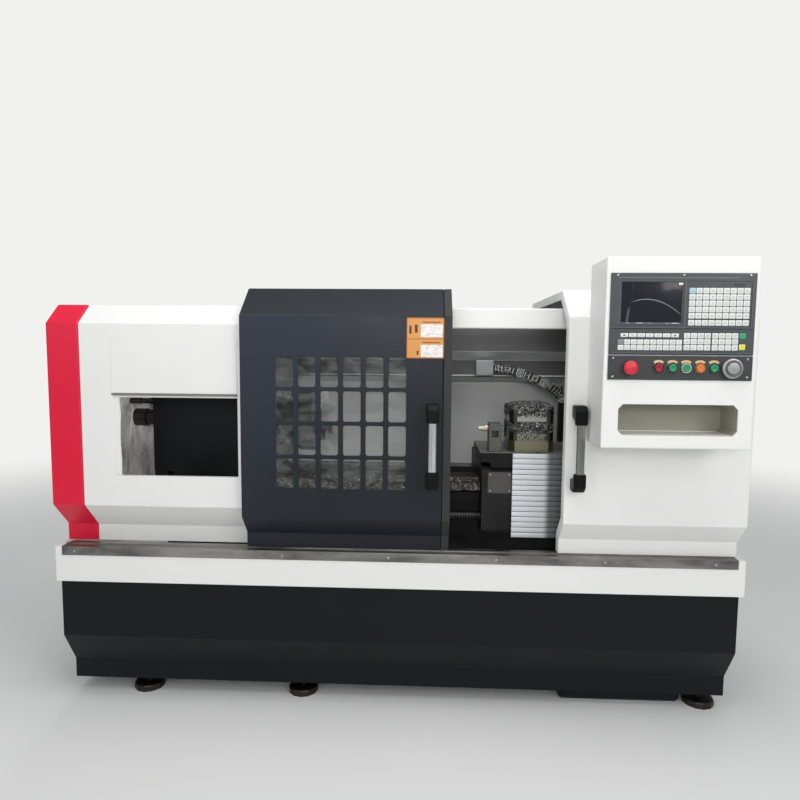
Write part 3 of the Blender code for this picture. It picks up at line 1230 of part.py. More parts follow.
def handwheel(x):
    """Handwheel with a round rim, windows in its web, a hub with its shaft, and a knob."""
    centre = (0, SPINDLE_Y, SPINDLE_Z)
    middle = x + WHEEL_HUB_LENGTH / 2
    web = WHEEL_WEB / 2
    inner = WHEEL_RADIUS - WHEEL_RIM * 2
    profile = [(x - WHEEL_SHAFT_LENGTH, 0), (x - WHEEL_SHAFT_LENGTH, WHEEL_SHAFT_RADIUS),
               (x, WHEEL_SHAFT_RADIUS),
               (x, WHEEL_HUB_RADIUS), (middle - web, WHEEL_HUB_RADIUS), (middle - web, inner)]
    for i in range(1, COARSE // 2):
        turn = math.pi * i / (COARSE // 2)
        profile.append((middle - WHEEL_RIM * math.cos(turn),
                        WHEEL_RADIUS - WHEEL_RIM + WHEEL_RIM * math.sin(turn)))
    profile += [(middle + web, inner), (middle + web, WHEEL_HUB_RADIUS),
                (x + WHEEL_HUB_LENGTH, WHEEL_HUB_RADIUS),
                (x + WHEEL_HUB_LENGTH, 0)]
    wheel = turned(profile, centre, 'X', ROUND)
    windows = []
    room = (inner - WHEEL_HUB_RADIUS) / 2
    for i in range(WHEEL_SPOKES):
        turn = math.pi * (2 * i + 1) / WHEEL_SPOKES
        place = (0, SPINDLE_Y + (WHEEL_HUB_RADIUS + room) * math.cos(turn),
                 SPINDLE_Z + (WHEEL_HUB_RADIUS + room) * math.sin(turn))
        windows.append(turned([(x - CUT_OVERRUN, room * WHEEL_WINDOW_SHARE),
                               (x + WHEEL_HUB_LENGTH + CUT_OVERRUN, room * WHEEL_WINDOW_SHARE)],
                              place, 'X', SMALL))
    wheel = cut(wheel, gather(windows))
    knob_place = (0, SPINDLE_Y, SPINDLE_Z + WHEEL_RADIUS - WHEEL_RIM)
    neck = middle + WHEEL_RIM + SHEET
    knob = turned([(middle, WHEEL_KNOB_RADIUS / 2), (neck, WHEEL_KNOB_RADIUS / 2),
                   (neck + SHEET, WHEEL_KNOB_RADIUS),
                   (middle + WHEEL_KNOB_LENGTH, WHEEL_KNOB_RADIUS * WHEEL_KNOB_END_SHARE)],
                  knob_place, 'X', COARSE)
    return fuse(wheel, knob)


def make_covers(white, red):
    """Fixed covers over the headstock and the tailstock, and the red trim at the left end."""
    path = cover_path()
    trim_right = END_TRIM_WIDTH - SEAT_GAP
    node("end_trim", folded_sheet(path, 0, trim_right, SHEET, HATCH_RETURN), red)
    cover = folded_sheet(path, END_TRIM_WIDTH, HEAD_COVER_RIGHT, SHEET, COVER_LIP)
    left = END_TRIM_WIDTH + HATCH_FROM_LEFT
    bottom = COVER_BOTTOM + HATCH_FROM_BOTTOM
    inner = -COVER_LEAD + HATCH_RETURN
    outside = box(left - SHEET, left + HATCH_LENGTH + SHEET, -COVER_LEAD + SHEET / 2, inner,
                  bottom - SHEET, bottom + HATCH_HEIGHT + SHEET)
    opening = box(left, left + HATCH_LENGTH, -COVER_LEAD - CUT_OVERRUN, inner + CUT_OVERRUN,
                  bottom, bottom + HATCH_HEIGHT)
    node("headstock_cover", cut(fuse(cover, outside), opening), white)
    right = RIGHT_DOOR_RIGHT - SHEET * 2
    tail = folded_sheet(path, TAIL_COVER_LEFT, right, SHEET, COVER_LIP)
    inside = offset_path(path, SHEET / 2)
    outline = inside[:-1] + [(ROOF_REAR - SHEET / 2, COVER_ROOF - SHEET / 2),
                             (ROOF_REAR - SHEET / 2, COVER_BOTTOM)]
    end = prism(outline, right - SHEET - SHEET / 2, right - SHEET / 2)
    node("tail_cover", fuse(tail, end), white)


def make_inner_walls(look):
    """Splash wall beside the chuck and the stepped rear guard behind the working space."""
    path = offset_path(cover_path(), WALL_FRONT)
    rear = GUARD_TOP_Y - SEAT_GAP
    bottom = COVER_BOTTOM + WALL_FRONT
    outline = [(path[1][0], bottom)] + path[1:5] + [(rear, path[4][1]), (rear, bottom)]
    wall = prism(outline, WALL_LEFT, WALL_RIGHT)
    nose = turned([(WALL_LEFT - CUT_OVERRUN, HEADSTOCK_NOSE_RADIUS + WALL_NOTCH_GAP),
                   (WALL_RIGHT + CUT_OVERRUN, HEADSTOCK_NOSE_RADIUS + WALL_NOTCH_GAP)],
                  (0, SPINDLE_Y, SPINDLE_Z), 'X', ROUND)
    gap = WALL_NOTCH_GAP
    notch = box(WALL_LEFT - CUT_OVERRUN, WALL_RIGHT + CUT_OVERRUN, BED_FRONT - gap, BED_REAR + gap,
                bottom - CUT_OVERRUN, BED_TOP + VEE_HEIGHT + gap)
    node("splash_wall", cut(cut(wall, nose), notch), look)
    y0 = GUARD_TOP_Y
    y1 = y0 + GUARD_LEDGE_DEPTH
    y2 = y1 + GUARD_LOWER_DEPTH
    z0 = COVER_ROOF - REAR_LIP_DROP - SEAT_GAP
    z1 = z0 - GUARD_TOP_BAND
    z2 = z1 - GUARD_LEDGE_DROP
    z3 = z2 - GUARD_SECOND_BAND
    z4 = z3 - GUARD_LEDGE_DROP
    front = [(ROOF_REAR, z0), (y0, z0), (y0, z1), (y1, z2), (y1, z3), (y2, z4), (y2, TRAY_TOP + SEAT_GAP)]
    back = offset_path(front, -WALL_SHEET)
    section = front + back[::-1]
    node("rear_guard", prism(section, WALL_RIGHT + SEAT_GAP, RIGHT_DOOR_RIGHT - SHEET * 4), look)


def make_frame(look):
    """Front beam between the covers, and the rear rail that the door roofs run on, with its post."""
    front = BEAM_FRONT
    top = COVER_ROOF - SHEET
    beam = bevelled(box(WALL_RIGHT + SEAT_GAP, TAIL_COVER_LEFT - SEAT_GAP, front, front + BEAM_DEPTH,
                        top - BEAM_HEIGHT, top), SHEET)
    node("front_beam", beam, look)
    post_rear = ROOF_REAR - SHEET - SEAT_GAP
    rail = box(RAIL_END_INSET, RIGHT_DOOR_RIGHT - SHEET * 3, post_rear - REAR_POST_SIZE, ROOF_REAR,
               RAIL_BOTTOM, RAIL_TOP)
    node("roof_rail", rail, look)
    left = BASIN_END_WALL + SEAT_GAP
    front = post_rear - REAR_POST_SIZE
    bottom = TRAY_FLOOR + SEAT_GAP
    post = box(left, left + REAR_POST_SIZE, front, post_rear, bottom, COVER_ROOF - SHEET - SEAT_GAP)
    shoe = box(left, left + REAR_POST_SHOE, front, post_rear, bottom, bottom + REAR_SHOE_THICKNESS)
    node("rear_post", fuse(post, shoe), look)


def make_left_door(look, glass, seal_look, handle_look):
    """Left door with its grid of windows, the pane behind them, the rubber seal and the handle."""
    left = HEAD_COVER_SHOWN
    right = LEFT_DOOR_RIGHT
    door = folded_sheet(door_path(), left, right, SHEET, DOOR_LIP)
    holes = []
    for column in range(WINDOW_COLUMNS):
        x = left + WINDOW_FROM_LEFT + WINDOW_COLUMN_PITCH * column
        for row in range(WINDOW_ROWS):
            z = DOOR_LOW_EDGE + WINDOW_FROM_BOTTOM + WINDOW_ROW_PITCH * row
            outline = rounded_outline(x, x + WINDOW_WIDTH, z, z + WINDOW_HEIGHT, WINDOW_CORNER)
            holes.append(prism(outline, -DOOR_LEAD - CUT_OVERRUN, -DOOR_LEAD + SHEET + CUT_OVERRUN, 'Y'))
    node("left_door", cut(door, gather(holes)), look)
    pane_y = -DOOR_LEAD + SHEET + SEAT_GAP
    pane = box(left + WINDOW_FROM_LEFT - PANE_MARGIN, x + WINDOW_WIDTH + PANE_MARGIN, pane_y,
               pane_y + PANE_THICKNESS, DOOR_LOW_EDGE + WINDOW_FROM_BOTTOM - PANE_MARGIN,
               z + WINDOW_HEIGHT + PANE_MARGIN)
    node("left_door_window", bevelled(pane, PANE_THICKNESS / 4), glass)
    path = door_path()[:-1]
    seal = prism(path + offset_path(path, DOOR_LIP)[::-1], right + SEAT_GAP, SEAL_RIGHT - RUN_GAP)
    node("door_seal", seal, seal_look)
    node("left_door_handle", handle(right - HANDLE_FROM_EDGE_LEFT), handle_look)


def handle(x):
    """Door handle: a flat round-edged bar held off the door by two brackets."""
    low = DOOR_LOW_EDGE + HANDLE_FROM_LOW_BEVEL
    high = low + HANDLE_HEIGHT
    face = -DOOR_LEAD - SEAT_GAP
    far = face - HANDLE_STAND_OFF - HANDLE_BAR_DEPTH
    half = HANDLE_BRACKET_WIDTH / 2
    brackets = []
    for z0, z1, foot in ((low, low + HANDLE_BRACKET_HEIGHT, low),
                         (high - HANDLE_BRACKET_HEIGHT, high, high)):
        inward = 1 if foot == low else -1
        arm = inward * HANDLE_BRACKET_HEIGHT
        inner = far + HANDLE_BAR_DEPTH + HANDLE_BAR_DEPTH / 2
        tip = far - HANDLE_BEVEL / 2
        outline = [(face, foot), (face, foot + arm * HANDLE_ROOT_SHARE),
                   (inner, foot + arm * HANDLE_ARM_SHARE),
                   (inner, foot + arm), (tip, foot + arm), (tip, foot + arm * HANDLE_NOSE_SHARE),
                   (far + HANDLE_BAR_DEPTH, foot)]
        brackets.append(bevelled(prism(outline, x - half, x + half), HANDLE_BEVEL / 4))
    reach = HANDLE_BRACKET_HEIGHT / 2
    bar_half = HANDLE_BAR_WIDTH / 2
    outline = rounded_outline(x - bar_half, x + bar_half, far, far + HANDLE_BAR_DEPTH,
                              HANDLE_BAR_DEPTH * HANDLE_ROUND_SHARE)
    bar = prism(outline, low + reach, high - reach, 'Z')
    return fuse(bar, *brackets)


def make_right_door(look, handle_look):
    """Right door, which carries the operator panel."""
    door = folded_sheet(door_path(), RIGHT_DOOR_LEFT, RIGHT_DOOR_RIGHT, SHEET, DOOR_LIP)
    node("right_door", door, look)
    node("right_door_handle", handle(RIGHT_DOOR_LEFT + HANDLE_FROM_EDGE_RIGHT), handle_look)


def make_panel_box(look):
    """Operator panel housing with a storage shelf whose corners are cut off."""
    back = -DOOR_LEAD - SEAT_GAP
    housing = bevelled(box(PANEL_LEFT, PANEL_RIGHT, PANEL_FRONT, back, PANEL_BOTTOM, PANEL_TOP),
                       PANEL_BEVEL, 2)
    left = PANEL_LEFT + SHELF_FROM_LEFT
    right = left + SHELF_WIDTH
    low = PANEL_BOTTOM + SHELF_FROM_BOTTOM
    high = low + SHELF_HEIGHT
    c = SHELF_CHAMFER
    outline = [(left + c, low), (right - c, low), (right, low + c), (right, high - c), (right - c, high),
               (left + c, high), (left, high - c), (left, low + c)]
    shelf = prism(outline, PANEL_FRONT - CUT_OVERRUN, PANEL_FRONT + SHELF_DEPTH, 'Y')
    node("panel_box", cut(housing, shelf), look)


def key_fields():
    """Places of the key groups on the control plate: left, top, width, height, columns, rows."""
    left = PLATE_LEFT + SCREEN_FROM_LEFT
    screen_right = left + SCREEN_WIDTH
    room = PLATE_RIGHT - screen_right
    top = UPPER_PLATE_TOP - SCREEN_FROM_TOP
    below = top - SCREEN_HEIGHT
    rest = below - UPPER_PLATE_BOTTOM
    groups = ((screen_right, room, top, SCREEN_HEIGHT, BESIDE_SCREEN_SHARES),
              (left, SCREEN_WIDTH, below, rest, SOFT_KEY_SHARES),
              (left, SCREEN_WIDTH, below, rest, MODE_KEY_SHARES),
              (screen_right, room, below, rest, AXIS_KEY_SHARES),
              (screen_right, room, below, rest, SPINDLE_KEY_SHARES),
              (screen_right, room, below, rest, START_KEY_SHARES))
    fields = []
    for (x, wide, z, high, shares), (columns, rows) in zip(groups, KEY_COLUMNS_AND_ROWS):
        across, down, width, height = shares
        fields.append((x + wide * across, z - high * down, wide * width, high * height, columns, rows))
    return fields


def make_control_plate(look):
    """Control plate with the screen opening and fields of low membrane keys."""
    left = PLATE_LEFT + SCREEN_FROM_LEFT
    top = UPPER_PLATE_TOP - SCREEN_FROM_TOP
    back = PLATE_FRONT + PLATE_THICKNESS
    plate = box(PLATE_LEFT, PLATE_RIGHT, PLATE_FRONT, back, UPPER_PLATE_BOTTOM, UPPER_PLATE_TOP)
    opening = box(left, left + SCREEN_WIDTH, PLATE_FRONT - CUT_OVERRUN, back + CUT_OVERRUN,
                  top - SCREEN_HEIGHT, top)
    keys = []
    for key_left, key_top, width, height, columns, rows in key_fields():
        across = width / columns
        down = height / rows
        for column in range(columns):
            for row in range(rows):
                x = key_left + across * (column + (1 - KEY_SHARE) / 2)
                z = key_top - down * (row + (1 - KEY_SHARE) / 2)
                keys.append(box(x, x + across * KEY_SHARE, PLATE_FRONT - KEY_HEIGHT,
                                PLATE_FRONT + KEY_HEIGHT,
                                z - down * KEY_SHARE, z))
    node("control_plate", fuse(cut(plate, opening), gather(keys)), look)


def make_screen(look):
    """Glass of the display, set a little behind the face of its plate."""
    left = PLATE_LEFT + SCREEN_FROM_LEFT + SEAT_GAP
    top = UPPER_PLATE_TOP - SCREEN_FROM_TOP - SEAT_GAP
    glass = box(left, left + SCREEN_WIDTH - SEAT_GAP * 2, PLATE_FRONT + SCREEN_RECESS,
                PLATE_FRONT + PLATE_THICKNESS, top - SCREEN_HEIGHT + SEAT_GAP * 2, top)
    node("display_screen", glass, look)


def button_places():
    """Middles of the push buttons along the machine."""
    return [PLATE_LEFT + BUTTON_FROM_LEFT + BUTTON_PITCH * i for i in range(BUTTON_COUNT)]


def make_button_plate(look):
    """Lower plate with the bezels of the push buttons and the holes for everything that moves."""
    back = PLATE_FRONT + PLATE_THICKNESS
    plate = box(PLATE_LEFT, PLATE_RIGHT, PLATE_FRONT, back, LOWER_PLATE_BOTTOM, LOWER_PLATE_TOP)
    estop = PLATE_LEFT + ESTOP_FROM_LEFT
    dial = PLATE_RIGHT - DIAL_FROM_RIGHT
    raised = []
    holes = []
    for x in button_places():
        raised.append(face_disc(x, BUTTON_BEZEL_RADIUS, PLATE_FRONT - BUTTON_BEZEL_HEIGHT,
                                back - BEZEL_SEAT))
        holes.append(face_disc(x, BUTTON_CAP_RADIUS + BUTTON_GAP, PLATE_FRONT - CUT_OVERRUN,
                               back + CUT_OVERRUN))
    raised.append(face_disc(estop, ESTOP_COLLAR_RADIUS, PLATE_FRONT - BUTTON_BEZEL_HEIGHT,
                            back - BEZEL_SEAT))
    holes.append(face_disc(estop, ESTOP_STEM_RADIUS + BUTTON_GAP, PLATE_FRONT - CUT_OVERRUN,
                           back + CUT_OVERRUN))
    holes.append(face_disc(dial, DIAL_SHAFT_RADIUS + BUTTON_GAP, PLATE_FRONT - CUT_OVERRUN,
                           back + CUT_OVERRUN))
    node("button_plate", cut(fuse(plate, gather(raised)), gather(holes)), look)


def face_disc(x, radius, y0, y1):
    """A round stub at the height of the buttons, along the machine's depth."""
    return turned([(y0, radius), (y1, radius)], (x, 0, BUTTON_Z), 'Y', SMALL)


def make_buttons(red, green, amber, metal):
    """Emergency stop, five push buttons and the pulse dial, each with its pivot on its own axis."""
    x = PLATE_LEFT + ESTOP_FROM_LEFT
    rim = PLATE_FRONT - ESTOP_STAND_OFF
    end = rim - ESTOP_HEAD_HEIGHT
    stem = PLATE_FRONT + PLATE_THICKNESS - ESTOP_TRAVEL - RUN_GAP / 2
    head = turned([(end, ESTOP_RADIUS * ESTOP_TOP_SHARE),
                   (end + ESTOP_HEAD_HEIGHT * ESTOP_EDGE_SHARES[0], ESTOP_RADIUS * ESTOP_EDGE_SHARES[1]),
                   (end + ESTOP_HEAD_HEIGHT * ESTOP_BELLY_SHARE, ESTOP_RADIUS),
                   (rim, ESTOP_RADIUS * ESTOP_RIM_SHARE), (rim, ESTOP_STEM_RADIUS),
                   (stem, ESTOP_STEM_RADIUS)],
                  (x, 0, BUTTON_Z), 'Y', ROUND)
    node("emergency_stop", head, red, (x, rim, BUTTON_Z), True)
    proud = PLATE_FRONT - BUTTON_BEZEL_HEIGHT - BUTTON_PROUD
    cap_back = PLATE_FRONT + PLATE_THICKNESS - BUTTON_TRAVEL - RUN_GAP / 2
    looks = (red, green, green, amber, green)
    for number, place in enumerate(button_places()):
        cap = turned([(proud, BUTTON_CAP_RADIUS * BUTTON_TOP_SHARE),
                      (proud + BUTTON_GAP * 2, BUTTON_CAP_RADIUS),
                      (cap_back, BUTTON_CAP_RADIUS)], (place, 0, BUTTON_Z), 'Y', SMALL)
        node(f"push_button_{number + 1}", cap, looks[number % len(looks)], (place, proud, BUTTON_Z), True)
    x = PLATE_RIGHT - DIAL_FROM_RIGHT
    back = PLATE_FRONT - RUN_GAP / 2
    front = back - DIAL_HEIGHT
    dial = turned([(front - DIAL_HUB_HEIGHT, DIAL_HUB_RADIUS * DIAL_HUB_TOP_SHARE),
                   (front, DIAL_HUB_RADIUS),
                   (front, DIAL_RADIUS * DIAL_FACE_SHARE), (front + DIAL_HUB_HEIGHT / 2, DIAL_RADIUS),
                   (back, DIAL_RADIUS),
                   (back, DIAL_SHAFT_RADIUS), (PLATE_FRONT + PLATE_THICKNESS - RUN_GAP / 2,
                                               DIAL_SHAFT_RADIUS)],
                  (x, 0, BUTTON_Z), 'Y', DIAL_NOTCHES * 2)
    for v in dial.verts:
        turn = math.atan2(v.co.z - BUTTON_Z, v.co.x - x)
        radius = math.hypot(v.co.z - BUTTON_Z, v.co.x - x)
        step = round(turn / math.pi * DIAL_NOTCHES)
        if radius > DIAL_HUB_RADIUS + SHEET and step % 2:
            radius *= DIAL_GRIP_SHARE
            v.co.x = x + radius * math.cos(turn)
            v.co.z = BUTTON_Z + radius * math.sin(turn)
    node("pulse_dial", dial, metal, (x, back, BUTTON_Z))


def chain_route():
    """Corners of the cable chain's route, from the junction box to the post on the saddle."""
    start_x = SEAL_RIGHT + BOX_FROM_OPENING + BOX_SIZE
    start_y = GUARD_TOP_Y + GUARD_LEDGE_DEPTH - CHAIN_WIDTH
    start_z = guard_second_band()
    end_x = SADDLE_RIGHT - RUN_GAP - CHAIN_POST_SIZE / 2
    end_y = SADDLE_REAR - RUN_GAP - CHAIN_POST_SIZE / 2
    end_z = CHAIN_POST_TOP + SEAT_GAP
    start = Vector((start_x + SEAT_GAP, start_y, start_z))
    end = Vector((end_x, end_y, end_z))
    reach = end.x - start.x
    drop = start.z - end.z
    return [start, start + Vector((reach * CHAIN_RUN_SHARE, 0, 0)),
            end + Vector((0, 0, drop * CHAIN_FALL_SHARE)), end]


def guard_second_band():
    """Height of the middle of the rear guard's second band."""
    return COVER_ROOF - REAR_LIP_DROP - GUARD_TOP_BAND - GUARD_LEDGE_DROP - GUARD_SECOND_BAND / 2


def make_cable_chain(box_look, chain_look):
    """Junction box on the rear guard, and the chain of links that bends down to the saddle."""
    x = SEAL_RIGHT + BOX_FROM_OPENING
    z = guard_second_band()
    rear = GUARD_TOP_Y + GUARD_LEDGE_DEPTH - SEAT_GAP
    front = rear - CHAIN_WIDTH * 2
    junction = bevelled(box(x, x + BOX_SIZE, front, rear, z - BOX_HEIGHT / 2, z + BOX_HEIGHT / 2),
                        SHEET / 2)
    node("junction_box", junction, box_look)
    a, b, c, d = chain_route()

    def place(t):
        s = 1 - t
        return a * s ** 3 + b * 3 * s * s * t + c * 3 * s * t * t + d * t ** 3

    def heading(t):
        s = 1 - t
        return ((b - a) * s * s + (c - b) * 2 * s * t + (d - c) * t * t).normalized()

    samples = [place(i / CHAIN_SAMPLES) for i in range(CHAIN_SAMPLES + 1)]
    length = sum((q - p).length for p, q in zip(samples, samples[1:]))
    links = max(2, round(length / CHAIN_LINK))
    bm = bmesh.new()
    rings = []
    across = Vector((0, 1, 0))
    for i in range(links):
        stops = ((0, 1.0), (CHAIN_LINK_SHARE, 1.0), (CHAIN_LINK_SHARE, CHAIN_WAIST_SHARE),
                 (1, CHAIN_WAIST_SHARE))
        for offset, share in stops:
            t = (i + offset) / links
            middle = place(t)
            side = (across - heading(t) * across.dot(heading(t))).normalized()
            up = heading(t).cross(side)
            half = side * CHAIN_WIDTH / 2 * share
            rise = up * CHAIN_HEIGHT / 2 * share
            rings.append([bm.verts.new(middle + p) for p in (half + rise, -half + rise, -half - rise,
                                                             half - rise)])
    for p, q in zip(rings, rings[1:]):
        join_rings(bm, p, q)
    bm.faces.new(rings[0])
    bm.faces.new(rings[-1])
    node("cable_chain", bm, chain_look)


def make_cabinet(look, switch_look):
    """Electrical cabinet behind the rear guard: a bolted cover with vents, and the main switch."""
    left = CABINET_RIGHT - CABINET_LENGTH
    top = CABINET_BOTTOM + CABINET_HEIGHT
    body = bevelled(box(left, CABINET_RIGHT, CABINET_FRONT, CABINET_REAR, CABINET_BOTTOM, top),
                    CABINET_BEVEL)
    margin = CABINET_DOOR_MARGIN
    face = CABINET_REAR + CABINET_DOOR_THICKNESS
    door = bevelled(box(left + margin, CABINET_RIGHT - margin, CABINET_REAR - CABINET_BEVEL, face,
                        CABINET_BOTTOM + margin, top - margin), SHEET)
    vents = []
    middle = (left + CABINET_RIGHT) / 2
    for i in range(VENT_COUNT):
        z = CABINET_BOTTOM + margin + VENT_RISE + VENT_PITCH * i
        vents.append(box(middle - VENT_LENGTH / 2, middle + VENT_LENGTH / 2, face - VENT_DEPTH,
                         face + CUT_OVERRUN,
                         z, z + VENT_WIDTH))
    node("electrical_cabinet", cut(fuse(body, door), gather(vents)), look)
    x = left + margin + SWITCH_INSET
    z = top - margin - SWITCH_INSET
    y = SWITCH_Y
    knob = turned([(y, SWITCH_RADIUS), (y + SWITCH_HEIGHT - SHEET, SWITCH_RADIUS),
                   (y + SWITCH_HEIGHT, SWITCH_RADIUS - SHEET)], (x, 0, z), 'Y', ROUND)
    grip = box(x - SWITCH_GRIP / 2, x + SWITCH_GRIP / 2, y + SWITCH_HEIGHT / 2,
               y + SWITCH_HEIGHT + SWITCH_GRIP,
               z - SWITCH_RADIUS * SWITCH_GRIP_SHARE, z + SWITCH_RADIUS * SWITCH_GRIP_SHARE)
    node("main_switch", fuse(knob, grip), switch_look, (x, y, z))


def main():
    """Clear the scene and build the machine from the floor up."""
    for old in list(bpy.data.objects):
        bpy.data.objects.remove(old, do_unlink=True)
    white = material("white_paint", (0.83, 0.83, 0.81), 0.35)
    charcoal = material("charcoal_paint", (0.035, 0.040, 0.047), 0.40)
    red = material("red_paint", (0.72, 0.02, 0.05), 0.35)
    grey = material("inner_grey_paint", (0.48, 0.49, 0.49), 0.45)
    navy = material("dark_casting_paint", (0.020, 0.024, 0.032), 0.45)
    steel = material("ground_steel", (0.55, 0.55, 0.54), 0.28, 1.0)
    stainless = material("brushed_stainless", (0.62, 0.62, 0.60), 0.30, 1.0)
    black = material("black_plastic", (0.018, 0.018, 0.020), 0.45)
    dark_steel = material("blackened_steel", (0.06, 0.055, 0.05), 0.40, 0.8)
    aluminium = material("slat_aluminium", (0.72, 0.72, 0.73), 0.30, 0.9)
    glass = material("clear_pane", (0.62, 0.66, 0.64), 0.08)
    screen = material("screen_glass", (0.008, 0.009, 0.012), 0.08)
    rubber = material("seal_rubber", (0.02, 0.02, 0.02), 0.70)
    button_red = material("button_red", (0.62, 0.02, 0.02), 0.35)
    button_green = material("button_green", (0.03, 0.42, 0.13), 0.35)
    button_amber = material("button_amber", (0.80, 0.36, 0.03), 0.35)
    make_base(charcoal)
    make_feet(dark_steel)
    make_coolant_tank(navy)
    make_tray(white)
    make_track(stainless)
    make_bed(dark_steel)
    make_z_screw(steel)
    make_motors(black)
    make_headstock(navy)
    make_belt_guard(navy)
    make_main_motor(grey)
    make_spindle(dark_steel)
    make_chuck(dark_steel, steel)
    make_saddle(dark_steel)
    make_curtain(aluminium)
    make_cross_slide(dark_steel)
    make_turret(dark_steel, steel)
    make_coolant_block(dark_steel)
    make_tailstock(dark_steel, steel, black)
    make_covers(white, red)
    make_inner_walls(grey)
    make_frame(white)
    make_left_door(charcoal, glass, rubber, black)
    make_right_door(white, black)
    make_panel_box(white)
    make_control_plate(black)
    make_screen(screen)
    make_button_plate(black)
    make_buttons(button_red, button_green, button_amber, aluminium)
    make_cable_chain(grey, black)
    make_cabinet(white, button_red)


main()
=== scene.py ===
"""Looks of a flat-bed turning lathe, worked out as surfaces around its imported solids.

Lengths are in metres. X runs along the bed, -Y is the operator's side and Z is up.
"""

import math

import bmesh
import bpy
import numpy as np
from bpy.props import FloatProperty, FloatVectorProperty, IntProperty, PointerProperty
from mathutils import Matrix, Vector


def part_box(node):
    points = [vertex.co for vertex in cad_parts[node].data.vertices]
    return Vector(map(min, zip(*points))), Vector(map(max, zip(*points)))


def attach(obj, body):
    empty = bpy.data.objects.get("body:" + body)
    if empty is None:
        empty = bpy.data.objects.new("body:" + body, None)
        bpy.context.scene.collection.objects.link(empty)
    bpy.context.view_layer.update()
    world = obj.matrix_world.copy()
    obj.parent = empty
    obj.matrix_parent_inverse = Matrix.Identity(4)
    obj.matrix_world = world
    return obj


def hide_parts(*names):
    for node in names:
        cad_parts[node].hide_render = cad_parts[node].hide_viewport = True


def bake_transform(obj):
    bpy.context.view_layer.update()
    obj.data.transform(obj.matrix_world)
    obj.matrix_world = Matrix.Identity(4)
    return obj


bl_info = {
    "name": "Turning lathe looks",
    "version": (1, 0, 0),
    "blender": (4, 5, 0),
    "location": "3D View > Sidebar > Lathe",
    "description": "Doors, covers, panel, slides and finishes of a flat-bed turning lathe",
    "category": "Object",
}

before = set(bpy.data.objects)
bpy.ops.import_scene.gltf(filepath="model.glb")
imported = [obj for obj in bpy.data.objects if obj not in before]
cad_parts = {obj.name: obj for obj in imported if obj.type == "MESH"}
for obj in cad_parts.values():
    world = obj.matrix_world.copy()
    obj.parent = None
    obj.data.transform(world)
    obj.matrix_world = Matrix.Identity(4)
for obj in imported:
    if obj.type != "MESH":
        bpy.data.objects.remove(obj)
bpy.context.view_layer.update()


def screen(red, green, blue):
    """Colour read off a screen from 0 to 255, as the linear values that a shader takes."""
    value = np.array((red, green, blue)) / 255
    return tuple(np.where(value <= 0.04045, value / 12.92, ((value + 0.055) / 1.055) ** 2.4).tolist())


# Sizes and colours


class LatheSizes(bpy.types.PropertyGroup):
    """Sizes of the surfaces that are laid over the solids."""

    sheet: FloatProperty(name="Sheet", description="Thickness of the folded steel sheet",
                         default=0.003, unit="LENGTH")
    fold: FloatProperty(name="Fold radius", description="Outer radius of a fold in the sheet",
                        default=0.006, unit="LENGTH")
    door_lip: FloatProperty(name="Door lip", description="Depth of the lips at the ends of a door",
                            default=0.034, unit="LENGTH")
    trim_lip: FloatProperty(name="Trim lip", description="Depth of the lips of the end trim",
                            default=0.030, unit="LENGTH")
    cover_lip: FloatProperty(name="Cover lip", description="Depth of the lips of a fixed cover",
                             default=0.020, unit="LENGTH")
    window_corner: FloatProperty(name="Window corner", description="Corner radius of a door window",
                                 default=0.0085, unit="LENGTH")
    key_rise: FloatProperty(name="Key rise", description="Height of a membrane key over its plate",
                            default=0.0012, unit="LENGTH")
    slats: IntProperty(name="Slats", description="Slats of the curtain in front of the cross slide",
                       default=16, min=2)
    links: IntProperty(name="Links", description="Links of the cable chain", default=23, min=2)
    screw_pitch: FloatProperty(name="Screw pitch", description="Advance of the ball screw's thread",
                               default=0.010, unit="LENGTH")


class LatheColours(bpy.types.PropertyGroup):
    """Colours of the finishes."""

    white: FloatVectorProperty(name="White", description="Covers, right door and panel",
                               subtype="COLOR", default=screen(236, 236, 232))
    charcoal: FloatVectorProperty(name="Charcoal", description="Paint of the left door",
                                  subtype="COLOR", default=screen(37, 41, 47))
    stand: FloatVectorProperty(name="Stand", description="Paint of the stand",
                               subtype="COLOR", default=screen(19, 23, 24))
    red: FloatVectorProperty(name="Red", description="Trim at the left end",
                             subtype="COLOR", default=screen(224, 30, 62))
    grey: FloatVectorProperty(name="Grey", description="Walls inside the working space",
                              subtype="COLOR", default=screen(150, 152, 151))
    slat: FloatVectorProperty(name="Slats", description="Slats of the curtain",
                              subtype="COLOR", default=screen(222, 224, 228))
    plate: FloatVectorProperty(name="Plate", description="Control plate",
                               subtype="COLOR", default=screen(62, 68, 70))
    key: FloatVectorProperty(name="Keys", description="Membrane keys",
                             subtype="COLOR", default=screen(222, 225, 221))
    notice: FloatVectorProperty(name="Notice", description="Plate on the left door",
                                subtype="COLOR", default=screen(212, 142, 60))


# Surfaces


def corners_of(table):
    """The four neighbours that make each cell of a table."""
    return np.stack((table[:-1, :-1], table[1:, :-1], table[1:, 1:], table[:-1, 1:]), 2)


def weave(points, ring=False, look=0, keep=None, places=None):
    """Quads between the neighbours of a grid of points; a ring closes its second direction."""
    rows, columns = points.shape[:2]
    number = np.arange(rows * columns).reshape(rows, columns)
    if ring:
        number = np.hstack((number, number[:, :1]))
    if places is None:
        sides = (np.linspace(0, 1, rows), np.linspace(0, 1, number.shape[1]))
        places = np.stack(np.meshgrid(*sides, indexing="ij"), -1)
    elif ring:
        places = np.hstack((places, places[:, :1]))
    quads, uvs = corners_of(number), corners_of(places)
    if keep is not None:
        quads, uvs = quads[keep], uvs[keep]
    return points.reshape(-1, 3), quads.reshape(-1, 4), uvs.reshape(-1, 4, 2), look


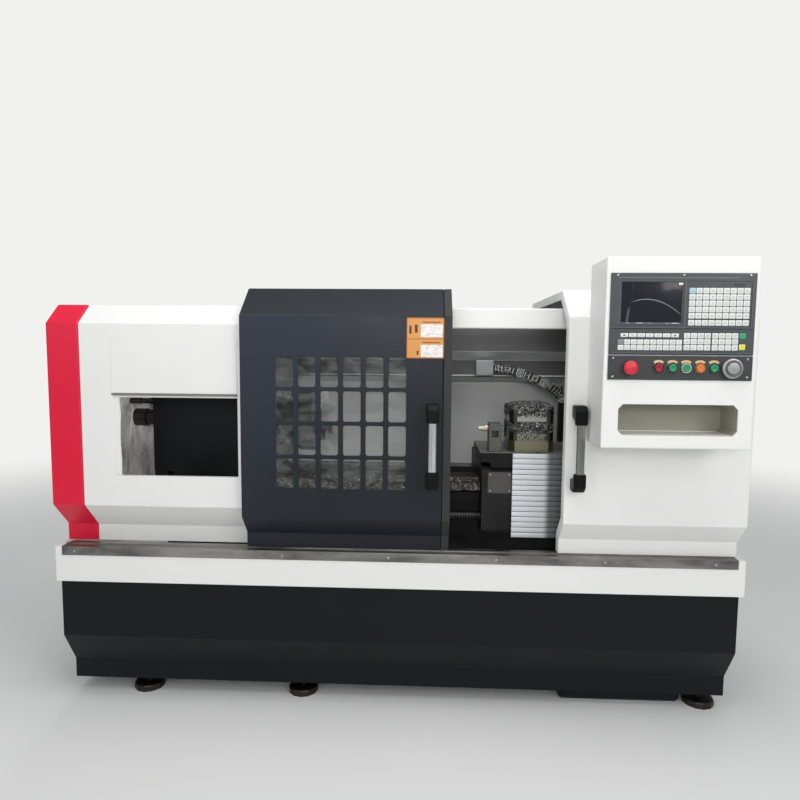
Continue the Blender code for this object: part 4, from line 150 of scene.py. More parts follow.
def shell(outer, inner, keep=None, look=0):
    """Closed sheet between two grids of points: both faces and the four edges."""
    parts = [weave(outer, look=look, keep=keep), weave(inner, look=look, keep=keep)]
    for a, b in ((outer[0], inner[0]), (outer[-1], inner[-1]), (outer[:, 0], inner[:, 0]),
                 (outer[:, -1], inner[:, -1])):
        parts.append(weave(np.stack((a, b)), look=look))
    return parts


def round_corners(half_a, half_b, corner, inset, steps):
    """Rounded rectangle drawn in by an inset: corner centres plus (corner - inset) along each angle."""
    quarter = np.repeat(np.arange(4), steps + 1)
    angle = (quarter + np.tile(np.linspace(0, 1, steps + 1), 4)) * np.pi / 2
    sign = np.stack((np.where((quarter == 0) | (quarter == 3), 1, -1), np.where(quarter < 2, 1, -1)), 1)
    middle = sign * np.array((half_a - corner, half_b - corner))
    way = np.stack((np.cos(angle), np.sin(angle)), 1)
    return middle + (corner - np.asarray(inset)[..., None, None]) * way


def block(low, high, edge, corner=0.0, axis=1, look=0, arc=3, steps=3):
    """Rounded block: its outline draws in by edge (1 - sin t) where it rises by edge (1 - cos t)."""
    low, high = np.asarray(low, float), np.asarray(high, float)
    a, b = (i for i in range(3) if i != axis)
    half, middle = (high - low) / 2, (high + low) / 2
    corner = max(corner, edge)
    turn = np.linspace(0, np.pi / 2, arc + 1)
    draw = edge * (1 - np.sin(turn))
    rise = edge * (1 - np.cos(turn))
    inset = np.concatenate(([edge], draw, draw[::-1], [edge]))
    level = np.concatenate(([0], rise, half[axis] * 2 - rise[::-1], [half[axis] * 2]))
    ring = round_corners(half[a], half[b], corner, inset, steps)
    ring[[0, -1]] = 0
    points = np.empty(ring.shape[:2] + (3,))
    points[..., a] = middle[a] + ring[..., 0]
    points[..., b] = middle[b] + ring[..., 1]
    points[..., axis] = low[axis] + level[:, None]
    places = np.stack((ring[..., 0] / half[a], ring[..., 1] / half[b]), -1) / 2 + 0.5
    return weave(points, ring=True, look=look, places=places)


def turned(profile, centre, axis=0, steps=48, look=0, wave=None):
    """Turned surface: a profile of (along, radius) swung about an axis; wave changes the radius."""
    profile = np.asarray(profile, float)
    angle = np.linspace(0, 2 * np.pi, steps, endpoint=False)
    a, b = [(i + axis + 1) % 3 for i in range(2)]
    radius = profile[:, 1:2] * np.ones(steps)
    if wave is not None:
        radius = radius * wave(profile[:, 0:1], angle[None])
    points = np.empty(radius.shape + (3,))
    points[..., axis] = centre[axis] + profile[:, 0:1]
    points[..., a] = centre[a] + radius * np.cos(angle)
    points[..., b] = centre[b] + radius * np.sin(angle)
    return weave(points, ring=True, look=look)


def closed_ends(rings):
    """Rings along a path with a pole added at the middle of the first and of the last one."""
    first = np.broadcast_to(rings[:1].mean(1, keepdims=True), rings[:1].shape)
    last = np.broadcast_to(rings[-1:].mean(1, keepdims=True), rings[-1:].shape)
    return np.concatenate((first, rings, last))


def carried(path, side, up, section, look=0):
    """A section of (side, up) carried along a path: path + side * s + up * u for each of its points."""
    path, side, up, section = (np.asarray(v, float) for v in (path, side, up, section))
    section = np.broadcast_to(section, (len(path),) + section.shape[-2:])
    side, up = (np.broadcast_to(v, path.shape)[:, None] for v in (side, up))
    rings = path[:, None] + side * section[..., :1] + up * section[..., 1:]
    return weave(closed_ends(rings), ring=True, look=look)


def folded(corners, depths, radius, steps=5):
    """Folded section seen at several depths under its skin, as (row, depth, (y, z)).

    Each fold is an arc about a centre one radius under the skin, or over it on an inward fold. A depth
    moves a row along the arc's normal, and once past the centre along the fold's mitre.
    """
    corners, depths = np.asarray(corners, float), np.asarray(depths, float)[None, :, None]
    way = np.diff(corners, axis=0)
    way /= np.linalg.norm(way, axis=1, keepdims=True)
    inward = np.stack((way[:, 1], -way[:, 0]), 1)
    rows = [corners[:1, None] + depths * inward[:1, None]]
    for corner, before, after, onward in zip(corners[1:-1], inward, inward[1:], way[1:]):
        angle = math.acos(min(1, before @ after))
        if angle < 1e-4:
            rows.append((corner + depths * before))
            continue
        mitre = (before + after) / (1 + before @ after)
        share = np.linspace(0, 1, steps + 1)[:, None, None]
        normal = (before * np.sin((1 - share) * angle) + after * np.sin(share * angle)) / math.sin(angle)
        if onward @ before > 0:
            bent = corner + radius * mitre - (radius - depths) * normal
            rows.append(np.where(depths < radius, bent, corner + depths * mitre))
        else:
            rows.append(corner - radius * mitre + (radius + depths) * normal)
    rows.append(corners[-1:, None] + depths * inward[-1:, None])
    return np.concatenate(rows)


def lipped(x0, x1, breaks, sheet, lip, radius, steps=4):
    """Outer and inner profile of a sheet with turned-in ends, as matching rows of (x, depth)."""
    turn = np.linspace(0, np.pi / 2, steps + 1)
    arc = np.stack((radius * (1 - np.cos(turn)), radius * (1 - np.sin(turn))), 1)
    left = np.concatenate(([[0, lip]], arc))
    middle = np.array([[x, 0] for x in breaks]).reshape(-1, 2)
    outer = np.concatenate((left + (x0, 0), middle, left[::-1] * (-1, 1) + (x1, 0)))
    inner = outer.copy()
    inner[:, 0] = np.clip(outer[:, 0], x0 + sheet, x1 - sheet)
    inner[:, 1] = np.maximum(outer[:, 1], sheet)
    ends = np.abs(outer[:, 1] - lip) > 1e-9
    inner[ends & (outer[:, 1] > 0), 1] = sheet
    inner[ends & (outer[:, 0] < x0 + radius), 0] = x0 + sheet
    inner[ends & (outer[:, 0] > x1 - radius), 0] = x1 - sheet
    return outer, inner


def folded_skin(corners, x0, x1, sheet, lip, radius, hole=None):
    """Folded sheet along the machine: a lipped profile in (x, depth) carried along a folded section."""
    breaks, rows = [], list(corners)
    if hole is not None:
        left, right, bottom, top = hole
        breaks = [left, right]
        face = max(i for i, corner in enumerate(corners) if corner[1] < bottom)
        rows[face + 1:face + 1] = [(corners[face][0], bottom), (corners[face][0], top)]
    outer, inner = lipped(x0, x1, breaks, sheet, lip, radius)
    grids = []
    for profile in (outer, inner):
        section = folded(rows, profile[:, 1], radius)
        across = np.broadcast_to(profile[:, 0], section.shape[:2])[..., None]
        grids.append(np.concatenate((across, section), -1))
    keep = None
    if hole is not None:
        middle = corners_of(grids[0]).mean(2)
        inside = (middle[..., 0] > left) & (middle[..., 0] < right)
        inside &= (middle[..., 2] > bottom) & (middle[..., 2] < top)
        keep = ~(inside & (np.abs(middle[..., 1] - corners[face][0]) < sheet / 2))
    return shell(*grids, keep=keep)


def window_cell(cell, window, face, corner, rings, steps=5):
    """Sheet round a window: rings of (spread from the window's outline, depth), framed by a cell."""
    left, right, bottom, top = cell
    x0, x1, z0, z1 = window
    middle = np.array(((x0 + x1) / 2, (z0 + z1) / 2))
    spread = np.array([ring[0] for ring in rings])
    depth = np.array([rings[0][1]] + [ring[1] for ring in rings] + [rings[-1][1]])
    outline = middle + round_corners((x1 - x0) / 2, (z1 - z0) / 2, corner, -spread, steps)
    frame_sides = round_corners((right - left) / 2, (top - bottom) / 2, 0, 0, steps)
    frame_sides = frame_sides + ((left + right) / 2, (bottom + top) / 2)
    outline = np.concatenate((frame_sides[None], outline, frame_sides[None]))
    points = np.empty(outline.shape[:2] + (3,))
    points[..., 0], points[..., 2] = outline[..., 0], outline[..., 1]
    points[..., 1] = face + depth[:, None]
    return weave(points, ring=True)


def edge_rings(radius, depth, steps=3):
    """Spread and depth round a window's rounded edge, from the face to the back of its reveal."""
    turn = np.linspace(0, np.pi / 2, steps + 1)
    front = np.stack((radius * (1 - np.sin(turn)), radius * (1 - np.cos(turn))), 1)
    return [tuple(row) for row in np.concatenate((front, front[::-1] * (1, -1) + (0, depth)))]


def screw_heads(places, radius, height, look=0):
    """Pan heads that face -Y; their cross recess swells four times round, as 0.75 + 0.45 cos 4a."""
    share = np.array(((0.0, 1.0), (0.35, 1.0), (0.75, 0.9), (1.0, 0.62), (1.0, 0.5), (0.45, 0.34),
                      (0.4, 0.0)))
    profile = share * (-height, radius)

    def cross(along, angle):
        return np.where(np.arange(len(along))[:, None] > 3, 0.75 + 0.45 * np.cos(4 * angle), 1)

    return [turned(profile, place, 1, steps=20, look=look, wave=cross) for place in places]


def ridges(u, v, waves, seed):
    """Crumpled height from -1 to 1: ridges 1 - 2 |sin| that cross at seeded angles, finer and lower."""
    chance = np.random.default_rng(seed)
    height = np.zeros(np.broadcast(u, v).shape)
    weight = 0
    for k in range(waves):
        angle, phase, bend = chance.uniform(0, np.pi), chance.uniform(0, 6), chance.uniform(0.6, 1.6)
        share = 0.7 ** k
        line = (u * math.cos(angle) + v * math.sin(angle)) * 1.35 ** k
        height += share * (1 - 2 * np.abs(np.sin(line + phase + bend * np.sin(0.37 * line * (1 + v * 0.01)))))
        weight += share
    return height / weight


# Pieces


def piece(name, parts, finishes, body, stands_for=(), crease=38.0):
    """One object from several surfaces: welded, turned outwards, shaded by face area, on its body."""
    start, points, quads, uvs, looks = 0, [], [], [], []
    for part_points, part_quads, part_uvs, look in parts:
        points.append(part_points)
        quads.append(part_quads + start)
        uvs.append(part_uvs)
        looks.append(np.full(len(part_quads), look, np.int32))
        start += len(part_points)
    quads = np.concatenate(quads).astype(np.int32)
    mesh = bpy.data.meshes.new(name)
    mesh.vertices.add(start)
    mesh.vertices.foreach_set("co", np.concatenate(points).astype(np.float32).ravel())
    mesh.loops.add(quads.size)
    mesh.loops.foreach_set("vertex_index", quads.ravel())
    mesh.polygons.add(len(quads))
    mesh.polygons.foreach_set("loop_start", np.arange(0, quads.size, 4, dtype=np.int32))
    mesh.polygons.foreach_set("material_index", np.concatenate(looks))
    mesh.update(calc_edges=True)
    mesh.uv_layers.new(name="surface").data.foreach_set("uv", np.concatenate(uvs).astype(np.float32).ravel())
    for finish_name in finishes:
        mesh.materials.append(finish(finish_name))
    welded = bmesh.new()
    welded.from_mesh(mesh)
    bmesh.ops.remove_doubles(welded, verts=welded.verts, dist=2e-6)
    bmesh.ops.recalc_face_normals(welded, faces=welded.faces)
    welded.to_mesh(mesh)
    welded.free()
    mesh.shade_smooth()
    mesh.set_sharp_from_angle(angle=math.radians(crease))
    made = bpy.data.objects.new(name, mesh)
    bpy.context.scene.collection.objects.link(made)
    shading = made.modifiers.new("shading", "WEIGHTED_NORMAL")
    shading.keep_sharp = True
    if body:
        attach(made, body)
    if stands_for:
        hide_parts(*stands_for)
    return made


def box_of(node):
    """Lowest and highest corner of a solid as two arrays."""
    low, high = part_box(node)
    return np.array(low), np.array(high)


# Finishes


class Tree:
    """A node tree being put together, with short calls that add nodes and give back their outputs."""

    def __init__(self, tree):
        self.nodes, self.links = tree.nodes, tree.links

    def join(self, value, socket):
        """Join an output to a socket, or write a plain value into it."""
        if isinstance(value, bpy.types.NodeSocket):
            self.links.new(value, socket)
        else:
            socket.default_value = value

    def add(self, kind, inputs, output, **settings):
        made = self.nodes.new(kind)
        for name, value in settings.items():
            setattr(made, name, value)
        for key, value in inputs.items():
            self.join(value, made.inputs[key])
        return made.outputs[output]

    def span(self, value, low, high, start=0.0, end=1.0, smooth=False):
        """A value drawn from the range start to end onto low to high."""
        return self.add("ShaderNodeMapRange", {"Value": value, "From Min": start, "From Max": end,
                                               "To Min": low, "To Max": high}, "Result",
                        interpolation_type="SMOOTHSTEP" if smooth else "LINEAR")

    def math(self, operation, first, second=0.0):
        return self.add("ShaderNodeMath", {0: first, 1: second}, "Value", operation=operation)

    def times(self, first, second):
        return self.math("MULTIPLY", first, second)

    def mix(self, share, first, second):
        """Colour between two others by a share."""
        return self.add("ShaderNodeMix", {0: share, 6: first, 7: second}, 2, data_type="RGBA")

    def seen(self):
        """1 for what the camera sees, straight on or through a pane."""
        rays = self.nodes.new("ShaderNodeLightPath").outputs
        return self.math("MAXIMUM", rays["Is Camera Ray"], rays["Is Transmission Ray"])


class Finish(Tree):
    """A material whose Principled shader is driven by noise, cells and places."""

    def __init__(self, name, colour, roughness, metallic=0.0, **sockets):
        self.material = bpy.data.materials.new(name)
        self.material.use_nodes = True
        self.material.diffuse_color = self.colour = (*colour, 1)
        super().__init__(self.material.node_tree)
        self.shader = self.nodes["Principled BSDF"]
        self.set("Base Color", self.colour)
        self.set("Roughness", roughness)
        self.set("Metallic", metallic)
        for socket, value in sockets.items():
            self.set(socket.replace("_", " ").title().replace("Ior", "IOR"), value)
        source = self.nodes.new("ShaderNodeTexCoord")
        self.object_place, self.uv_place = source.outputs["Object"], source.outputs["UV"]

    def set(self, socket, value):
        self.join(value, self.shader.inputs[socket])

    def tint(self, share, first, second):
        """Base colour between two others by a share."""
        self.set("Base Color", self.mix(share, first, second))

    def gloss(self, value, low, high, start=0.0, end=1.0):
        """Roughness from low to high as a value runs from start to end."""
        self.set("Roughness", self.span(value, low, high, start, end))

    def tone(self):
        """What drives the base colour so far."""
        return self.shader.inputs["Base Color"].links[0].from_socket

    def shade(self, share):
        """The finish's colour made lighter or darker by a share."""
        return tuple(min(1.0, c * share) for c in self.colour[:3]) + (1,)

    def place(self, scale=(1, 1, 1), turn=(0, 0, 0), source=None):
        return self.add("ShaderNodeMapping", {"Vector": source or self.object_place, "Scale": scale,
                                              "Rotation": turn}, "Vector")

    def noise(self, scale, detail=2.0, place=None, roughness=0.5, distortion=0.0):
        return self.add("ShaderNodeTexNoise", {"Vector": place or self.object_place, "Scale": scale,
                                               "Detail": detail, "Roughness": roughness,
                                               "Distortion": distortion}, "Fac")

    def cells(self, scale, place=None, feature="F1", output="Distance"):
        return self.add("ShaderNodeTexVoronoi", {"Vector": place or self.object_place, "Scale": scale},
                        output, feature=feature)

    def axes(self, source=None):
        """X, Y and Z of a place, or red, green and blue of a colour."""
        made = self.nodes.new("ShaderNodeSeparateXYZ")
        self.links.new(source or self.object_place, made.inputs[0])
        return made.outputs

    def relief(self, height, distance, strength=1.0, edge=0.0):
        """Bumps from a height, over edges that the light sees as rounded."""
        inputs = {"Height": height, "Distance": distance, "Strength": strength}
        if edge:
            inputs["Normal"] = self.add("ShaderNodeBevel", {"Radius": edge}, "Normal", samples=4)
        self.set("Normal", self.add("ShaderNodeBump", inputs, "Normal"))

    def inside(self, value, low, high, soft=0.01):
        """1 where a value lies between two limits, with soft ends."""
        return self.times(self.span(value, 0, 1, low - soft, low + soft),
                          self.span(value, 1, 0, high - soft, high + soft))


def paint(name, colour, roughness, grain=0.00012, tone=0.06, edge=0.0, shine=0.5):
    """Sprayed and baked paint: a broad uneven tone, faint rubbed patches and a fine orange peel."""
    made = Finish(name, colour, roughness, specular_ior_level=shine)
    made.tint(made.noise(2.6, 3), made.shade(1 - tone), made.shade(1 + tone))
    rubbed = made.noise(14, 4, roughness=0.65)
    made.gloss(rubbed, roughness - 0.02, roughness + 0.05, 0.3, 0.7)
    made.relief(made.noise(420, 2), grain, 0.6, edge)
    return made


def door_paint(name, colour):
    """Paint of the left door, with painted light and a bluish painted reflection towards the top left, and
    painted shade on the upper bevel.
    """
    made = paint(name, colour, 0.36, tone=0.08, shine=0.22)
    tone = made.tone()
    low, high = box_of("left_door")
    across, _, up = made.axes()
    # painted light and shade: a share that grows towards the top left
    painted_light_slope = made.math("ADD", made.span(across, 0.5, 0, low[0], high[0]),
                     made.span(up, 0, 0.5, low[2], high[2]))
    painted_light_share = made.span(painted_light_slope, 0, 1, 0.35, 0.95, True)
    # painted shade: the upper bevel is darkened
    bevel = made.span(up, 0, 1, high[2] - 0.1, high[2] - 0.097)
    # painted light: a lighter, bluish copy of the paint, mixed 65 to 35 over the plain tone
    lit = made.mix(painted_light_share, made.shade(0.72), tuple(c * k for c, k in zip(made.colour, (1.9, 2.0, 2.4))) + (1,))
    lit = made.mix(0.35, lit, tone)
    made.tint(bevel, lit, made.shade(0.85))
    return made


def casting(name, colour, roughness, metallic=0.2):
    """Oiled casting: pitted skin under paint, darker where oil lies, brighter where it is machined."""
    made = Finish(name, colour, roughness, metallic, specular_ior_level=0.22)
    oil = made.noise(7, 5, roughness=0.6)
    made.tint(made.span(oil, 0, 1, 0.35, 0.65), made.shade(0.7), made.shade(1.5))
    made.gloss(oil, roughness - 0.18, roughness + 0.12, 0.35, 0.65)
    pits = made.math("ADD", made.noise(210, 3), made.cells(160))
    made.relief(pits, 0.0005, 0.5, edge=0.002)
    return made


def ground(name, colour, roughness, along=(4, 260, 260), edge=0.001, metallic=1.0):
    """Metal with fine tool lines: noise drawn out along one direction drives tone, gloss and relief."""
    made = Finish(name, colour, roughness, metallic)
    lines = made.noise(1.0, 4, made.place(along), 0.7)
    stain = made.noise(5, 4)
    streaked = made.mix(lines, made.shade(0.82), made.shade(1.12))
    made.tint(made.span(stain, 0, 0.35, 0.5, 0.8), streaked, made.shade(0.6))
    made.gloss(lines, roughness - 0.08, roughness + 0.12, 0.3, 0.7)
    made.relief(lines, 0.00012, 0.5, edge)
    return made


def moulded(name, colour, roughness, grain=300, edge=0.0, **sockets):
    """Moulded plastic or rubber: an even colour with a fine sparked grain and slight wear."""
    made = Finish(name, colour, roughness, **sockets)
    wear = made.noise(20, 3)
    made.tint(wear, made.shade(0.88), made.shade(1.14))
    made.gloss(wear, roughness - 0.05, roughness + 0.08, 0.3, 0.7)
    made.relief(made.noise(grain, 2), 0.00015, 0.5, edge)
    return made


def clear_pane(name, colour):
    """Clear pane: mostly open, with wiped smears that scatter a little more light."""
    made = Finish(name, colour, 0.08, specular_ior_level=0.3)
    smear = made.noise(9, 5, made.place((1, 1, 2.4), turn=(0, 0.6, 0)), 0.6, 1.2)
    made.set("Alpha", made.span(smear, 0.02, 0.12, 0.4, 0.75))
    made.gloss(smear, 0.05, 0.35, 0.35, 0.75)
    return made


def wrap_film(name, colour, glint, clear, scale, share, relief=0.004):
    """Crumpled packing film: creases that bend and cross, with painted shade and light by its folds and
    painted glints along the creases.
    """
    made = Finish(name, colour, 0.22)
    drift = made.add("ShaderNodeVectorMath", {0: made.place(), 1: made.add(
        "ShaderNodeTexNoise", {"Vector": made.object_place, "Scale": scale * 0.7, "Detail": 3.0}, "Color")},
        "Vector", operation="ADD")
    bent = made.place((1, 1, 0.8), source=drift)
    crease = made.cells(scale, bent, "DISTANCE_TO_EDGE")
    fold = made.noise(scale * 1.3, 5, roughness=0.72, distortion=2.2)
    # painted glints along the creases, and fine painted sparkles
    bright = made.times(made.span(crease, 1, 0, 0.0, 0.09), made.span(fold, 0, 1, share - 0.12, share))
    painted_sparkle = made.span(made.noise(scale * 3, 2, distortion=2.0), 0, 1, share + 0.06, share + 0.11)
    bright = made.math("MAXIMUM", bright, painted_sparkle)
    # painted shade and light by the folds
    tone = made.mix(made.span(fold, 0, 1, 0.38, 0.62), made.shade(0.3), made.shade(2.2))
    made.tint(bright, tone, (*glint, 1))
    made.set("Alpha", made.span(bright, clear, 1.0))
    made.relief(made.math("ADD", crease, fold), relief, 0.9)
    return made


def key_face(name, colour, mark):
    """Membrane key: a tone that grows lighter towards its top, with two short marks of varying length, drawn
    on its own UVs.
    """
    made = Finish(name, colour, 0.38)
    across, up, _ = made.axes(made.uv_place)
    chance = made.cells(38, made.place((1, 0, 1)), output="Color")
    length = made.span(made.axes(chance)[0], 0.12, 0.3)
    off = made.math("ABSOLUTE", made.math("SUBTRACT", across, 0.5))
    bar = made.math("LESS_THAN", off, length)
    rows = made.math("MAXIMUM", made.inside(up, 0.56, 0.68), made.inside(up, 0.32, 0.4))
    ink = made.times(bar, rows)
    tone = made.mix(made.span(up, 0, 1), made.shade(0.9), made.shade(1.04))
    made.tint(made.times(ink, 0.6), tone, (*mark, 1))
    made.relief(made.noise(500, 1), 0.0001, 0.4)
    return made


def screen_face(name, colour):
    """Display under a thin film: dark glass with painted reflections of the film's curved creases and a
    painted glint along its foot.
    """
    made = Finish(name, colour, 0.12, specular_ior_level=0.2, coat_weight=0.35, coat_roughness=0.04)
    across, up, _ = made.axes(made.uv_place)
    aside = made.math("SUBTRACT", across, 0.42)
    arc = made.math("ADD", made.times(made.times(aside, aside), 1.1), up)
    # painted reflections of the film: a curved crease, an upright streak and a glint along the foot
    crease = made.inside(arc, 0.589, 0.597, 0.005)
    crease = made.times(crease, made.inside(across, 0.22, 0.98, 0.08))
    lean = made.math("ADD", made.times(up, -0.1), across)
    upright = made.times(made.inside(lean, 0.085, 0.105, 0.02),
                         made.span(made.noise(18, 3), 0, 0.34, 0.4, 0.7))
    foot = made.times(made.inside(up, 0.012, 0.034, 0.008),
                      made.span(made.noise(40, 2), 0.25, 1, 0.4, 0.56))
    bright = made.math("MAXIMUM", crease, made.math("MAXIMUM", upright, foot))
    broad = made.mix(made.noise(6, 3), made.shade(0.8), made.shade(1.5))
    # painted reflections in a pale blue
    made.tint(bright, broad, (0.62, 0.66, 0.74, 1))
    made.relief(made.noise(30, 3), 0.0006, 0.3)
    return made


def slat_face(name, colour):
    """Anodised slats: a softly darker right third painted as shade, as if lit from the left, and fine lines
    along X.
    """
    made = Finish(name, colour, 0.34, 0.2)
    left, right = (corner[0] for corner in box_of("slat_curtain"))
    painted_shade_right = made.span(made.axes()[0], 0, 1, left + (right - left) * 0.6, left + (right - left) * 0.74,
                            True)
    lines = made.noise(1.0, 3, made.place((6, 300, 500)), 0.7)
    tone = made.mix(lines, made.shade(0.92), made.shade(1.05))
    # painted shade over the right third
    tone = made.mix(painted_shade_right, tone, made.shade(0.24))
    lap = made.inside(made.axes(made.uv_place)[0], 0.05, 0.96, 0.03)
    made.tint(lap, made.shade(0.08), tone)
    made.gloss(lines, 0.3, 0.46, 0.3, 0.7)
    made.relief(lines, 0.00008, 0.4)
    return made


def guard_paint(name, colour):
    """Paint of the rear guard: a pale wall, with painted shade over its two upper bands and painted light on
    the ledge between them.
    """
    made = paint(name, colour, 0.42, tone=0.03, edge=0.001)
    tone = made.tone()
    height, top = made.axes()[2], box_of("rear_guard")[1][2]
    bands = made.span(height, 0, 1, top - 0.225, top - 0.223)
    ledge = made.inside(height, top - 0.156, top - 0.118, 0.002)
    # painted shade on the bands over the wall, and painted light on the ledge between them
    made.tint(bands, tone, made.mix(ledge, made.shade(0.16), made.shade(1.1)))
    return made


def hanging_film(name, colour):
    """Packing film that hangs in soft folds: painted light at mid height, painted shade above, below and in
    the folds, and painted glints.
    """
    made = Finish(name, colour, 0.3)
    up = made.axes()[2]
    fold = made.noise(7, 4, made.place((1, 1, 0.3)), 0.62, 1.6)
    fine = made.noise(34, 4, made.place((1, 1, 0.5)), 0.7, 2.0)
    # painted light at mid height, painted shade above and below
    rise = made.times(made.span(up, 0.3, 1, 0.84, 0.97), made.span(up, 1, 0.75, 1.0, 1.09))
    # painted shade in the folds
    tone = made.times(rise, made.span(fold, 0.35, 1.2, 0.38, 0.6))
    tone = made.times(tone, made.span(fine, 0.75, 1.1, 0.35, 0.65))
    # painted glints on the creases
    glint = made.times(made.span(fine, 0, 1, 0.62, 0.68), made.span(fold, 0, 1, 0.46, 0.54))
    made.tint(made.math("MAXIMUM", glint, tone), made.shade(0.14), made.shade(1.04))
    made.set("Alpha", made.span(fine, 0.93, 1.0))
    made.relief(made.math("ADD", fold, fine), 0.004, 0.6)
    return made


def track_face(name, colour):
    """Brushed strip of the track: broad pale and brown stretches along it, with fine lines."""
    made = ground(name, colour, 0.4, (3, 420, 420))
    lines = made.tone()
    broad = made.noise(1.0, 4, made.place((2.6, 9, 9)), 0.6, 0.6)
    tone = made.mix(made.span(broad, 0, 1, 0.38, 0.62), made.shade(0.6), made.shade(2.1))
    made.tint(0.75, lines, tone)
    made.gloss(broad, 0.3, 0.5, 0.38, 0.62)
    return made


def smeared(name, colour):
    """White print under a scuffed film: grey smears drawn out along the width."""
    made = Finish(name, colour, 0.4)
    smear = made.noise(1.0, 4, made.place((60, 1, 260)), 0.6, 0.8)
    made.tint(made.span(smear, 0, 1, 0.5, 0.66), made.shade(1.08), made.shade(0.62))
    made.relief(smear, 0.0002, 0.3)
    return made


def panel_paint(name, colour):
    """Paint of the panel housing, with grey-brown painted shade on the back and sides of the pocket in its
    shelf, whose floor keeps the paint.
    """
    made = paint(name, colour, 0.4, tone=0.02, edge=0.0015)
    tone = made.tone()
    low, _ = box_of("panel_box")
    across, deep, up = made.axes()
    pocket = made.times(made.inside(across, low[0] + 0.047, low[0] + 0.405, 0.001),
                        made.inside(up, low[2] + 0.038, low[2] + 0.137, 0.001))
    pocket = made.times(pocket, made.inside(deep, low[1] + 0.004, low[1] + 0.113, 0.001))
    floor = made.span(up, 1, 0, low[2] + 0.041, low[2] + 0.043)
    # painted shade: grey-brown over the pocket above its floor
    liner_and_shade = made.mix(floor, (0.36, 0.345, 0.28, 1), tone)
    made.tint(pocket, tone, liner_and_shade)
    return made


def slide_casting(name, colour):
    """Black casting with painted light on its top face."""
    made = casting(name, colour, 0.5)
    tone = made.tone()
    height, top = made.axes()[2], box_of("cross_slide")[1][2]
    # painted light: the top face is made lighter
    made.tint(made.span(height, 0, 1, top - 0.002, top - 0.0005), tone, (0.2, 0.2, 0.19, 1))
    return made


def arc_label(name, colour):
    """Printed label without letters: cream with fine red flecks."""
    made = Finish(name, colour, 0.4)
    fleck = made.span(made.noise(900, 3), 0, 0.8, 0.53, 0.6)
    made.tint(fleck, made.colour, (0.45, 0.06, 0.04, 1))
    return made


def chain_face_with_glints(name, colour):
    """Moulded chain links under shreds of film: black with scattered painted glints of the film."""
    made = Finish(name, colour, 0.32, specular_ior_level=0.3)
    # painted glints of the film
    fleck = made.span(made.noise(75, 3, distortion=2.0), 0, 1, 0.58, 0.61)
    made.tint(fleck, made.colour, (0.75, 0.77, 0.78, 1))
    made.gloss(fleck, 0.38, 0.12)
    made.relief(made.noise(260, 2), 0.0002, 0.5)
    return made


